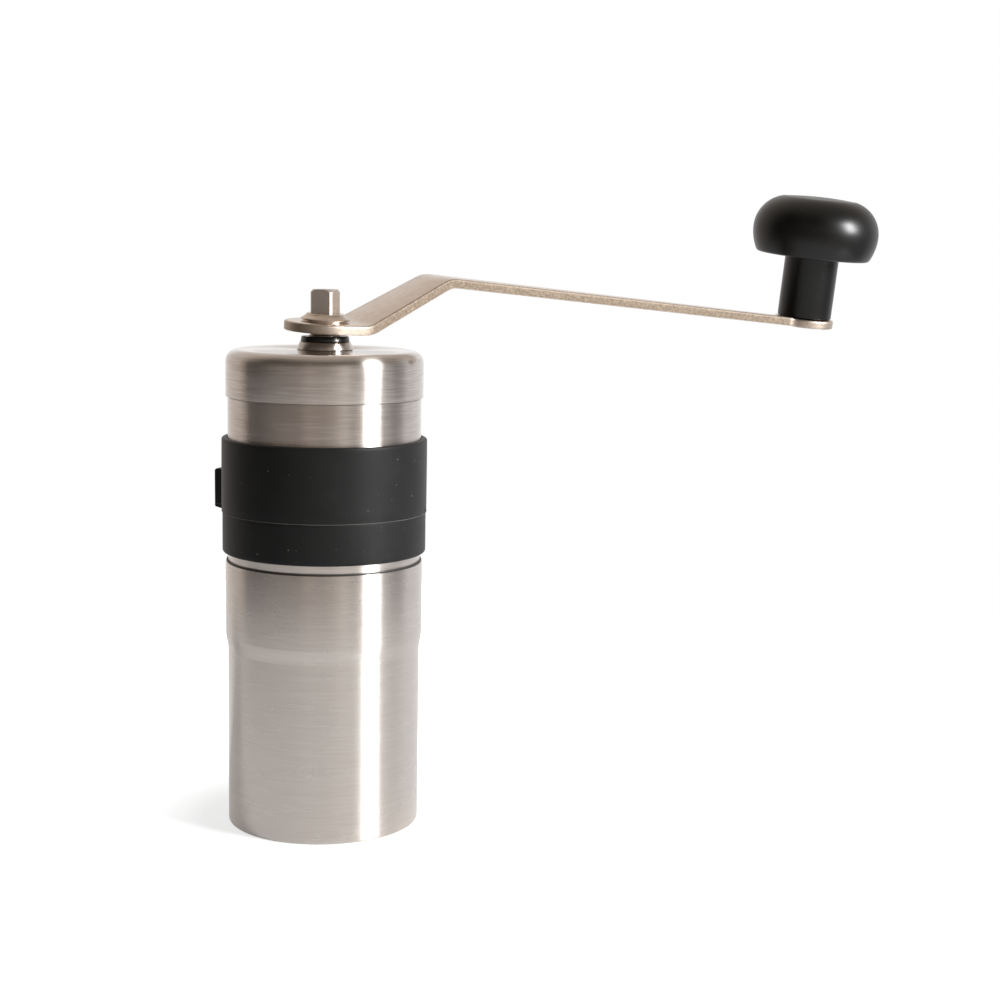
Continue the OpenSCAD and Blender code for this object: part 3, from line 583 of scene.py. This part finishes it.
def swept_sector(outline, start, stop, steps):
    """An outline of (r, z) swept part of the way round the axis, with its end edges eased."""
    middle = Vector((sum(p[0] for p in outline), sum(p[1] for p in outline))) / len(outline)
    ease, near = 0.35, 0.1
    ease_turn = ease / outline[0][0]
    stations = [(start, ease), (start + near * ease_turn, ease * 0.3), (start + ease_turn, 0)]
    stations += [(start + (stop - start) * i / steps, 0) for i in range(1, steps)]
    stations += [(stop - ease_turn, 0), (stop - near * ease_turn, ease * 0.3), (stop, ease)]

    def eased(r, z, turn, inset):
        toward = Vector((middle.x - r, middle.y - z))
        shift = toward.normalized() * min(inset, toward.length / 2)
        return polar(r + shift.x, turn, z + shift.y)

    return lofted([[eased(*point, *station) for point in outline] for station in stations], capped=True)


def strap_holder(outer, line):
    """A strap that stands off the sleeve, with a root at each end and a slot for the arm behind it."""
    strap_low, strap_high = line - 0.7, line + 9.1
    gap, thick, buried = 2.65, 1.4, 0.6
    back, front = outer + gap, outer + gap + thick
    section = rounded([
        (back, strap_low, 0.3), (front, strap_low, 0.35), (front, strap_high, 0.45),
        (back, strap_high, 0.3)], 3)
    root = rounded([
        (outer - buried, strap_low - 2.4, 0), (outer + 0.35, strap_low - 0.9, 0.9), (front, strap_low, 0.35),
        (front, strap_high, 0.45), (outer - buried, strap_high, 0)], 3)
    first, last = [math.radians(HOLDER_AZIMUTH + side * HOLDER_SPAN / 2) for side in (-1, 1)]
    root_span, inset = math.radians(5), 0.01
    return joined(
        swept_sector(section, first + inset, last - inset, 48),
        swept_sector(root, first, first + root_span, 6),
        swept_sector(root, last - root_span, last, 6))


def rubber_band():
    low, high = box_mm("rubber_band")
    outer = box_mm("hopper_tube")[1].x + BAND_WALL
    line = low.z + BAND_STEP
    whole = joined(band_sleeve(outer, line, low.z, high.z), strap_holder(outer, line))
    finish_piece("rubber_sleeve", whole, "grinder", "band_rubber", ["rubber_band"])


# ---- lid, collar and bush

def lid_cap():
    low, high = box_mm("lid")
    r, top = high.x, high.z
    edge, hole, chamfer = 3.0, 5.2, 0.1
    # The lid rests on the tube's neck inside, so a hair's breadth of dark shows under its lip.
    lip, lip_out, lip_in = low.z + 0.16, 0.08, 0.2
    outline = (
        [(hole, top - STEEL_SHEET), (hole, top - chamfer), (hole + chamfer, top), (r - edge - 0.01, top)]
        + arc(r - edge, top - edge, edge, 90, 0, 14)
        + arc(r - lip_out, lip + lip_out, lip_out, 0, -90, 3)
        + arc(r - STEEL_SHEET + lip_in, lip + lip_in, lip_in, -90, -180, 3)
        + arc(r - edge, top - edge, edge - STEEL_SHEET, 0, 90, 8))
    finish_piece("lid_cap", turned(outline), "lid", "lid_steel", ["lid"], sharp=50)


def lid_collar():
    low, high = box_mm("lid_collar")
    seat = box_mm("lid")[1].z + 0.01
    under = seat - STEEL_SHEET - 0.03
    foot, top, bore, flange, waist = 7.0, 6.3, 5.17, 7.4, 5.67
    outline = rounded([
        (bore, low.z, 0.1), (flange, low.z, 0.2), (flange, under, 0.2), (waist, under, 0),
        (waist, seat, 0), (foot, seat, 0.15), (top, high.z, 0.2), (bore, high.z, 0.05)], 4)
    finish_piece("lid_collar_turned", turned(outline, 160), "lid", "collar_steel", ["lid_collar"])


def lid_bush():
    low, high = box_mm("lid_bush")
    ring_z = box_mm("lid_collar")[1].z + 0.02
    bore, sleeve_r, ring_r, top_r = 4.05, 5.15, 6.1, 5.85
    outline = rounded([
        (bore, low.z, 0.15), (sleeve_r, low.z, 0.25), (sleeve_r, ring_z, 0), (ring_r, ring_z, 0.15),
        (top_r, high.z, 0.35), (bore, high.z, 0.2)], 4)
    finish_piece("lid_bush_ring", turned(outline, 160), "lid", "bush_plastic", ["lid_bush"])


# ---- drive shaft

ARM_AZIMUTH, DRIVE_TURN = 29, 42


def flats(count, flat, corner, first):
    """The radius at an angle of a round bar with flats on it, the first of them facing this angle."""
    share = TAU / count

    def radius(t):
        side = (t - first + share / 2) % share - share / 2
        return min(corner, flat / math.cos(side))
    return radius


def drive_shaft():
    low, high = box_mm("drive_shaft")
    clip_low, clip_high = [corner.z for corner in box_mm("shaft_clip")]
    driver_low, driver_high = [corner.z for corner in box_mm("burr_driver")]
    bar_r, groove_r, drive_h, corner_r = 4.0, 3.2, 11.2, 3.75
    square = flats(4, 2.9, corner_r, math.radians(ARM_AZIMUTH + DRIVE_TURN))
    key = flats(2, 3.2, bar_r, TAU / 4)
    thread_r, core_r, start = 3.0, 2.45, 0.5
    thread_top, key_top = driver_low + 2, driver_high + 1.5
    groove_low, groove_high = clip_low - 0.02, clip_high + 0.04
    shoulder = high.z - drive_h
    rows = [
        (0, low.z), (core_r - start, low.z), (core_r, low.z + start), (core_r, thread_top - 0.4),
        (thread_r, thread_top - 0.2), (thread_r, thread_top), (key, thread_top), (key, key_top),
        (bar_r - 0.01, key_top), (bar_r, key_top + 0.05), (bar_r, groove_low), (groove_r, groove_low),
        (groove_r, groove_high), (bar_r, groove_high), (bar_r, shoulder - 0.2), (bar_r - 0.15, shoulder),
        (square, shoulder)]
    # The end is turned down at 45 degrees, which cuts the square's corners in curves.
    turned_down, chamfer, run, steps = 0.7, 1.3, 1.22, 14
    end_r = corner_r - turned_down

    def cut(limit, inset=0.0):
        return lambda t: min(square(t), limit) - inset

    for i in range(steps + 1):
        z = high.z - chamfer + run * i / steps
        rows.append((cut(end_r + (high.z - z)), z))
    rows += [(cut(end_r, 0.04), high.z - 0.02), (cut(end_r, 0.12), high.z), (0, high.z)]
    finish_piece("drive_shaft_ground", turned(rows, 360), "shaft", "shaft_steel", ["drive_shaft"], sharp=22)
    pitch, first_turn = 1.0, low.z + 0.55
    turns = (thread_top - 0.6 - low.z - 0.5) / pitch
    thread = grown(wound_wire, {
        "Turns": turns, "Coil Radius": 2.55 * MM, "Wire Radius": 0.44 * MM, "Wire Sides": 4,
        "Low": first_turn * MM, "High": (first_turn + turns * pitch) * MM, "Level Share": 0.0,
        "Finish": FINISHES["shaft_steel"]})
    finish_piece("shaft_thread", thread, "shaft", "shaft_steel", sharp=20)


def coil_spring():
    low, high = box_mm("burr_spring")
    wire_r, coil_r, turns, level_turns = 0.45, 4.75, 4.5, 0.75
    mesh = grown(wound_wire, {
        "Turns": turns, "Coil Radius": coil_r * MM, "Wire Radius": wire_r * MM, "Wire Sides": 16,
        "Low": (low.z + wire_r) * MM, "High": (high.z - wire_r) * MM, "Level Share": level_turns / turns,
        "Finish": FINISHES["spring_steel"]})
    piece = finish_piece("coil_spring", mesh, "shaft", "spring_steel", ["burr_spring"])
    # The burr's rise of 1 mm takes 0.16 of the spring's height.
    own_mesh(piece)


# ---- burrs

def helical_teeth(count, first, foot_r, top_r, low_z, high_z, width, height, lean_deg, outward, steps=14):
    """Grinding teeth up a cone: steep on their cutting side, sloped behind, narrowing upwards."""
    sign, root = 1 if outward else -1, -0.5
    rings = []
    for i in range(steps + 1):
        u = i / steps
        r = foot_r + (top_r - foot_r) * u
        z = low_z + (high_z - low_z) * u
        w = width * (1 - 0.25 * u)
        # The cone's teeth get lower upwards, and the ring's get higher.
        h = height * (1 - 0.15 * u)
        if not outward:
            h = height * (0.35 + 0.65 * math.sin(TAU / 4 * (0.25 + 0.75 * u)))
        section = [(-w * 0.5, root), (-w * 0.42, h * 0.9), (-w * 0.3, h), (w * 0.5, root)]
        lean = math.radians(lean_deg) * u
        rings.append([polar(r + sign * rise, lean + side / r, z) for side, rise in section])
    values = {"Count": count, "First Angle": first, "Finish": FINISHES["burr_ceramic"]}
    return grown(round_the_axis, values, lofted(rings, capped=True))


def inner_burr():
    low, high = box_mm("inner_burr")
    foot, top, bore, tooth = 14.5, 7.8, 6.22, 1.7
    root, rim = foot - tooth, foot - tooth + 0.4
    body = turned(rounded([
        (bore, low.z, 0.1), (rim, low.z, 0.3), (rim, low.z + 1.2, 0.2), (top - 0.1, high.z, 0.3),
        (bore, high.z, 0.2)], 3), 180)
    coarse = helical_teeth(
        count=9, first=0.0, foot_r=root, top_r=top - 0.35, low_z=low.z + 0.1, high_z=high.z - 0.1,
        width=4.6, height=1.45, lean_deg=62, outward=True)
    fine = helical_teeth(
        count=27, first=0.1, foot_r=foot - 1.35, top_r=foot - 2.6, low_z=low.z, high_z=low.z + 3.4,
        width=2.5, height=1.25, lean_deg=14, outward=True)
    whole = joined(body, coarse, fine)
    finish_piece("inner_burr_cone", whole, "burr", "burr_ceramic", ["inner_burr"], sharp=28)


def outer_burr():
    low, high = box_mm("outer_burr")
    outer, mouth = high.x, 15.75
    body = turned(rounded([
        (mouth, low.z, 0.2), (outer, low.z, 0.4), (outer, high.z, 0.4), (mouth, high.z, 0.3),
        (mouth - 0.2, low.z + 4, 0)], 4), 180)
    ridges = helical_teeth(
        count=18, first=0.05, foot_r=mouth - 0.3, top_r=mouth - 0.1, low_z=low.z + 0.2,
        high_z=high.z - 0.25, width=3.0, height=1.35, lean_deg=14, outward=False)
    lead = helical_teeth(
        count=36, first=0.0, foot_r=mouth + 0.1, top_r=mouth - 0.7, low_z=low.z + 0.05,
        high_z=low.z + 3.2, width=1.7, height=0.75, lean_deg=6, outward=False)
    whole = joined(body, ridges, lead)
    finish_piece("outer_burr_ring", whole, "grinder", "burr_ceramic", ["outer_burr"], sharp=28)


# ---- crank

# Sizes in millimetres along the arm from the shaft's axis, and angles in degrees.
PLATE_BELOW_SHAFT_TOP = 7.95
ARM_ROLL, ARM_DROOP, ARM_FALL = 3.3, 1.25, 4.3
PAD_ROLL, PAD_FALL = 2.6, 1.1
ARM_LENGTH, ARM_T = 150, 2.35
HUB_R, PAD_R, PAD_BEND = 10.1, 8.4, 1.8
BEND_NEAR, BEND_FAR, ARM_RISE, BEND_R = 8.2, 30.6, 12.1, 5
NEAR_W, MID_W, END_W = 20.2, 16.6, 9.0
PAD_ROOT = ARM_LENGTH - math.sqrt(PAD_R ** 2 - (END_W / 2) ** 2)


def turn_of(x_deg, y_deg, z_deg):
    return (Matrix.Rotation(math.radians(z_deg), 4, "Z") @ Matrix.Rotation(math.radians(y_deg), 4, "Y")
            @ Matrix.Rotation(math.radians(x_deg), 4, "X"))


plate_z = box_mm("drive_shaft")[1].z - PLATE_BELOW_SHAFT_TOP
crank_place = Matrix.Translation(Vector((0, 0, plate_z)) * MM) @ turn_of(ARM_ROLL, ARM_DROOP, ARM_AZIMUTH)
pad_z = (ARM_RISE - (PAD_ROOT - BEND_FAR) * math.tan(math.radians(ARM_FALL))
         - (ARM_LENGTH - PAD_ROOT) * math.tan(math.radians(PAD_FALL)))
on_arm = Matrix.Translation(Vector((ARM_LENGTH, 0, pad_z)) * MM) @ turn_of(PAD_ROLL, PAD_FALL, 0)
knob_place = crank_place @ on_arm


def arm_path():
    """The bent bar's middle as (x, z, direction) points along the arm, close together in the bends."""
    slope = math.atan2(ARM_RISE, BEND_FAR - BEND_NEAR)
    fall = -math.radians(ARM_FALL)
    r, mid, past, steps = BEND_R + ARM_T / 2, -ARM_T / 2, 1, 10

    def bend(x, z, a, b):
        s = 1 if b > a else -1
        run = r * math.tan(abs(b - a) / 2)
        cx, cz = x - run * math.cos(a) - s * r * math.sin(a), z - run * math.sin(a) + s * r * math.cos(a)
        turns = [a + (b - a) * i / steps for i in range(steps + 1)]
        return [(cx + s * r * math.sin(t), cz - s * r * math.cos(t), t) for t in turns]

    reach = ARM_LENGTH + PAD_R + past
    return ([(-HUB_R - past, mid, 0)] + bend(BEND_NEAR, mid, 0, slope)
            + bend(BEND_FAR, ARM_RISE + mid, slope, fall)
            + [(reach, ARM_RISE + mid + (reach - BEND_FAR) * math.tan(fall), fall)])


ARM_PATH = arm_path()


def how_far(x, start, run):
    """How much of a run from this start lies behind x, from 0 to 1."""
    return min(max((x - start) / run, 0), 1)


def on_bar(x, y, n):
    """A point of the bent bar from its place along the arm, its side offset, and its height off the middle.
    Past the bend at the pad's root it lies in the pad."""
    for (x0, z0, a0), (x1, z1, a1) in zip(ARM_PATH, ARM_PATH[1:]):
        if x <= x1 or x1 == ARM_PATH[-1][0]:
            u = (x - x0) / (x1 - x0)
            a = a0 + (a1 - a0) * min(max(u, 0), 1)
            z = z0 + (z1 - z0) * u
            break
    bar = Vector((x - n * math.sin(a), y, z + n * math.cos(a))) * MM
    pad = on_arm @ (Vector((x - ARM_LENGTH, y, n - ARM_T / 2)) * MM)
    bent = how_far(x, PAD_ROOT - PAD_BEND / 2, PAD_BEND)
    return bar.lerp(pad, bent * bent * (3 - 2 * bent))


def half_outline():
    """One side of the arm's outline from the hub's tip to the pad's tip: (x, y, outward direction)."""
    square_on = math.pi / 2
    hub_steps, pad_steps, fillet_steps = 36, 48, 8
    points = []
    for i in range(hub_steps + 1):
        t = math.pi - square_on * i / hub_steps
        points.append((HUB_R * math.cos(t), HUB_R * math.sin(t), t))
    points += [(x, NEAR_W / 2, square_on) for x in np.arange(0.5, BEND_NEAR, 0.7)]
    fillet, side = 2.5, END_W / 2
    fillet_x = ARM_LENGTH - math.sqrt((PAD_R + fillet) ** 2 - (side + fillet) ** 2)
    bent_end, close, apart = BEND_FAR + 6, 0.6, 1.2
    outer = [*np.arange(BEND_FAR, bent_end, close), *np.arange(bent_end, fillet_x - 0.5, apart)]
    for xs, start, end, wide, narrow in (
            (np.arange(BEND_NEAR, BEND_FAR, close), BEND_NEAR, BEND_FAR, NEAR_W, MID_W),
            (outer, BEND_FAR, ARM_LENGTH, MID_W, END_W)):
        tilt = math.atan2(narrow / 2 - wide / 2, end - start)
        for x in xs:
            u = (x - start) / (end - start)
            points.append((x, wide / 2 + (narrow - wide) / 2 * u, square_on + tilt))
    join = math.pi - math.asin((side + fillet) / (PAD_R + fillet))
    for i in range(fillet_steps):
        t = square_on + (join - square_on) * i / fillet_steps
        points.append((fillet_x - fillet * math.cos(t), side + fillet - fillet * math.sin(t), t))
    for i in range(1, pad_steps + 1):
        t = join - join * i / pad_steps
        points.append((ARM_LENGTH + PAD_R * math.cos(t), PAD_R * math.sin(t), t))
    return points


def crank_bar():
    """Flat bar, blanked and bent: its top corner rolled over by the punch, its lower corner sharp."""
    half = half_outline()
    full = half + [(x, -y, -t) for x, y, t in reversed(half[1:-1])]
    over, under, half_t = 0.55, 0.22, ARM_T / 2
    # Each row of the edge: how far in from the outline, how high off the middle, and how torn.
    corner = arc(over, half_t - over, over, 90, 180, 4)
    section = [(*point, torn) for point, torn in zip(corner, (0.0, 0.5, 0.75, 0.9, 1.0))]
    section += [
        (0.0, half_t - over - 0.12, 1.0), (-0.02, 0.1, 1.0), (0.03, -0.5, 1.0),
        (0.0, under - half_t + 0.1, 1.0), (under * 0.3, under * 0.3 - half_t, 0.5), (under, -half_t, 0.0)]
    mesh = bmesh.new()
    sheared = mesh.verts.layers.float.new("sheared")
    rings = []
    for inset, height, torn in section:
        ring = []
        for x, y, t in full:
            v = mesh.verts.new(on_bar(x - inset * math.cos(t), y - inset * math.sin(t), height))
            # The hub's and the pad's rounds are dressed smooth; the straight edge is left as sheared.
            straight = how_far(x, 6, 3) * how_far(PAD_ROOT - x, 0, 2)
            v[sheared] = torn * (0.4 + 0.6 * straight)
            ring.append(v)
        rings.append(ring)
    bridge(mesh, rings)
    n = len(full)
    for ring, way in ((rings[0], -1), (rings[-1], 1)):
        for i in range(len(half) - 1):
            strip = dict.fromkeys((ring[i], ring[i + 1], ring[n - i - 1], ring[(n - i) % n]))
            mesh.faces.new(list(strip)[::way])
    bmesh.ops.recalc_face_normals(mesh, faces=mesh.faces)
    mesh.transform(crank_place)
    draft = add_object("bar", plain_mesh(mesh))
    hole_r, past = 5.0, 6
    drill = turned([(0, -past), (hole_r, -past), (hole_r, past), (0, past)], 96, crank_place)
    cutter = add_object("drill", plain_mesh(drill))
    cut = draft.modifiers.new("hub_hole", "BOOLEAN")
    cut.operation = "DIFFERENCE"
    cut.object = cutter
    cut.solver = "EXACT"
    bar = evaluated_mesh(draft)
    bpy.data.objects.remove(cutter)
    finish_piece("crank_bar", bar, "crank", "arm_nickel", ["crank_arm"], sharp=32)


def hub_socket():
    """A turned insert pressed through the arm's hub: a low boss under the plate, a cone above it."""
    hole = flats(4, 3.17, 4.02, math.radians(DRIVE_TURN))
    neck, boss, flange, top_r, top, fit = 5.05, 5.4, 6.1, 4.55, 2.0, 0.02
    low = -ARM_T - 0.5
    rows = [
        (lambda t: hole(t) + 0.15, low), (boss - 0.5, low), (boss - 0.15, low + 0.12), (boss, low + 0.35),
        (boss, -ARM_T - fit), (neck, -ARM_T - fit), (neck, fit), (boss, fit), (boss, 0.36),
        (flange - 0.15, 0.4), (flange, 0.5), (flange, 0.72), (flange - 0.1, 0.84), (5.6, 1.05), (5.1, 1.4),
        (top_r + 0.25, 1.72), (top_r + 0.13, top - 0.1), (top_r, top), (lambda t: hole(t) + 0.1, top),
        (hole, top - 0.1), (hole, low + 0.15)]
    ring = turned(rows, place=crank_place)
    finish_piece("hub_socket_ring", ring, "crank", "arm_nickel", ["hub_socket"], sharp=30)


# ---- knob and its pin

# Millimetres along the knob's axis: the gap over the pad, the stem, the head, and how deep its cap lies.
KNOB_GAP, STEM_H, HEAD_H, CAP_SEAT = 0.2, 17.3, 16.5, 1.6


def knob_pin():
    top, head, under, groove_h = KNOB_GAP + STEM_H + 4.5, 0.4, -ARM_T - 0.02, 0.7
    seat = top - 2.2
    pin_r, shank_r, head_r, groove_r = 2.5, 3.0, 3.7, 2.0
    rows = rounded([
        (head_r - 0.2, -ARM_T - head, 0.1), (head_r, -ARM_T - 0.2, 0.06), (head_r, under, 0),
        (shank_r, under, 0), (shank_r, 0, 0), (pin_r, 0, 0), (pin_r, seat, 0), (groove_r, seat, 0),
        (groove_r, seat + groove_h, 0), (pin_r, seat + groove_h, 0), (pin_r, top, 0.3)], 3)
    pin = turned([(0, -ARM_T - head)] + rows + [(0, top)], 96, knob_place)
    finish_piece("knob_rivet", pin, "crank", "shaft_steel", ["knob_pin"])


def knob():
    stem_r, rim_r, wide_r, wide_h, edge = 7.6, 15.8, 17.69, 7.0, 1.2
    cap_r, pocket_r, bore, pocket_h = 10.52, 9.5, 2.55, 19.3
    base = KNOB_GAP + STEM_H
    side_in = wide_r - rim_r
    side_r = (wide_h ** 2 + side_in ** 2) / (2 * side_in)
    top_r = HEAD_H - wide_h
    reach = math.sqrt((side_r - edge) ** 2 - (wide_h - edge) ** 2)
    edge_x = wide_r - side_r + reach
    lean = math.degrees(math.asin((wide_h - edge) / (side_r - edge)))
    cap_edge = math.degrees(math.acos((cap_r - (wide_r - top_r)) / top_r))
    seat, pocket = base + HEAD_H - CAP_SEAT, KNOB_GAP + pocket_h
    foot = 0.3
    outline = (
        [(bore, KNOB_GAP), (stem_r - 0.4, KNOB_GAP)]
        + arc(stem_r - foot, KNOB_GAP + foot, foot, -90, 0, 4)
        + [(stem_r, base - 0.35), (stem_r + 0.1, base - 0.1), (stem_r + 0.35, base)]
        + arc(edge_x, base + edge, edge, -90, -lean, 8)
        + arc(wide_r - side_r, base + wide_h, side_r, -lean, 0, 16)[1:]
        + arc(wide_r - top_r, base + wide_h, top_r, 0, cap_edge, 28)[1:]
        + [(cap_r, seat), (pocket_r, seat), (pocket_r, pocket), (bore, pocket)])
    mesh = turned(outline, 224, knob_place)
    finish_piece("knob_moulded", mesh, "knob", "knob_plastic", ["knob"], sharp=40)


def knob_cap():
    r, thick, crown, edge, steps = 10.44, 1.3, 0.58, 0.06, 12
    seat = KNOB_GAP + STEM_H + HEAD_H - CAP_SEAT
    low = seat + 0.04
    outline = [(0, low), (r, low), (r, seat + thick - 0.1), (r - edge, seat + thick - 0.01)]
    for i in range(1, steps + 1):
        inward = 1 - i / steps
        outline.append(((r - edge) * inward, seat + thick + crown * (1 - inward ** 2)))
    mesh = turned(outline, 160, knob_place)
    finish_piece("knob_cap_disc", mesh, "knob", "knob_plastic", ["knob_cap"], sharp=40)


# ---- the object

for make in (
        grounds_cup, hopper_tube, rubber_band, lid_cap, lid_collar, lid_bush, drive_shaft, coil_spring,
        inner_burr, outer_burr, crank_bar, hub_socket, knob_pin, knob, knob_cap):
    make()

# Pieces whose CAD shape is right and only lacks its broken edges, by name, node, body, slot and width.
softened("burr_housing_moulded", "burr_housing", "grinder", "housing_plastic", 0.2)
softened("burr_retainer_ring", "burr_retainer", "grinder", "housing_plastic", 0.2)
softened("lower_bush_bronze", "lower_bush", "grinder", "bush_bronze", 0.1)
softened("shaft_clip_spring", "shaft_clip", "shaft", "spring_steel", 0.08)
softened("upper_washer_steel", "upper_washer", "shaft", "shaft_steel", 0.08)
softened("lower_washer_steel", "lower_washer", "shaft", "shaft_steel", 0.08)
softened("burr_driver_moulded", "burr_driver", "burr", "housing_plastic", 0.12)
softened("adjuster_nut_moulded", "adjuster_nut", "adjuster", "nut_plastic", 0.35, 3)
softened("nut_insert_turned", "nut_insert", "adjuster", "insert_brass", 0.08)
softened("pin_clip_spring", "pin_clip", "crank", "spring_steel", 0.06)


# ---- studio

# What stands round the grinder, by direction in degrees: 0 is towards the camera, positive to its right.
ROOM = [
    (-180, "#ffffff"), (-150, "#e6deda"), (-112, "#ccc3bb"), (-104, "#ab9f97"), (-95, "#5a544f"),
    (-80, "#4d4844"), (-50, "#746b63"), (-25, "#847870"), (-14, "#a5988f"), (2, "#9f948b"),
    (14, "#b0a59c"), (28, "#dfd6cf"), (38, "#bab3ac"), (84, "#b5b0ae"), (96, "#8f8c8c"),
    (106, "#a6a3a6"), (118, "#e4e2e5"), (180, "#ffffff")]

# Above head height the sweep behind still shows, and the front of the room is dark.
CEILING = [
    (-180, "#e2d8cf"), (-120, "#cfc4ba"), (-75, "#4a453f"), (60, "#45403a"), (110, "#a59b91"),
    (180, "#e2d8cf")]

WHITE = (1, 1, 1, 1)


def matt_card(add, place):
    """White card: seen straight it glows plain white, a painted light that washes out its own shadow except
    close to the cup.
    Metal sees it as it is lit, raised by a painted glow."""
    path = add("ShaderNodeLightPath")
    card, seen_card = linear("#e0e0e0"), linear("#b0b0b0")
    colour = add("ShaderNodeMix", {0: path["Is Camera Ray"], 6: card, 7: seen_card}, data_type="RGBA")[2]
    roughness = add("ShaderNodeMix", {0: path["Is Glossy Ray"], 2: 0.9, 3: 0.3})[0]
    across = add("ShaderNodeVectorMath", (place,), operation="LENGTH")["Value"]
    # Painted light: the camera's glow grows from 0.69 at 30 mm to full at 52 mm from the axis, so the shadow
    # farther off fades out.
    white = add("ShaderNodeMapRange", {
        "Value": across, "From Min": 30 * MM, "From Max": 52 * MM, "To Min": 0.69})[0]
    seen = add("ShaderNodeMath", (path["Is Camera Ray"], white), operation="MULTIPLY")[0]
    lift = add("ShaderNodeMath", (path["Is Glossy Ray"], 0.18, seen), operation="MULTIPLY_ADD")[0]
    return {"Base Color": colour, "Roughness": roughness, "Emission Color": WHITE, "Emission Strength": lift}


def white_board():
    """A round board that the grinder stands on."""
    radius, steps, below = 330, 128, 0.02
    mesh = bmesh.new()
    mesh.faces.new([mesh.verts.new(polar(radius, TAU * i / steps, -below) * MM) for i in range(steps)])
    board = add_object("white_board", plain_mesh(mesh))
    board.data.materials.append(new_material("white_board", matt_card))


def soft_lamp(name, place, aim, size, power, mirrored=True):
    """A square-on softbox: place, aim and size in millimetres, power in watts."""
    data = bpy.data.lights.new(name, "AREA")
    data.shape = "RECTANGLE"
    data.size, data.size_y = [side * MM for side in size]
    data.energy = power
    lamp = add_object(name, data)
    place, aim = Vector(place) * MM, Vector(aim) * MM
    turn = (aim - place).to_track_quat("-Z", "Y").to_matrix().to_4x4()
    lamp.matrix_world = Matrix.Translation(place) @ turn
    lamp.visible_glossy = mirrored


def studio_world():
    """White all round for the camera. The metal mirrors a white sweep behind and a dimmer room in front,
    and matt surfaces get a low, even light."""
    world = bpy.data.worlds.new("studio")
    scene.world = world
    world.use_nodes = True
    world.node_tree.nodes.clear()
    add = partial(add_node, world.node_tree)
    direction = add("ShaderNodeTexCoord")["Generated"]
    x, y, z = add("ShaderNodeSeparateXYZ", (direction,))
    # The way round the room runs from 0 to 1, with the camera's side in the middle.
    toward = add("ShaderNodeMath", (y, -1.0), operation="MULTIPLY")[0]
    azimuth = add("ShaderNodeMath", (x, toward), operation="ARCTAN2")[0]
    turn = add("ShaderNodeMath", (azimuth, 1 / TAU, 0.5), operation="MULTIPLY_ADD")[0]
    walls, ceiling = [
        add("ShaderNodeValToRGB", {"Fac": turn}, [((a + 180) / 360, v) for a, v in stops])[0]
        for stops in (ROOM, CEILING)]
    overhead = add("ShaderNodeMapRange", {"Value": z, "From Min": 0.2, "From Max": 0.65})[0]
    upper = add("ShaderNodeMix", {0: overhead, 6: walls, 7: ceiling}, data_type="RGBA")[2]
    straight_up = add("ShaderNodeMapRange", {"Value": z, "From Min": 0.75})[0]
    room = add("ShaderNodeMix", {0: straight_up, 6: upper, 7: linear("#c0b4a8")}, data_type="RGBA")[2]
    path = add("ShaderNodeLightPath")
    dim = linear("#5a5a5a")
    sides = add("ShaderNodeMix", {0: path["Is Diffuse Ray"], 6: room, 7: dim}, data_type="RGBA")[2]
    seen = add("ShaderNodeMix", {0: path["Is Camera Ray"], 6: sides, 7: WHITE}, data_type="RGBA")[2]
    background = add("ShaderNodeBackground", {"Color": seen})[0]
    add("ShaderNodeOutputWorld", {"Surface": background})


white_board()
studio_world()
soft_lamp("key_softbox", place=(1335, -670, 640), aim=(0, 0, 90), size=(400, 660), power=43.0)
soft_lamp("top_fill", place=(-100, 100, 1100), aim=(0, 0, 60), size=(800, 800), power=3.0, mirrored=False)
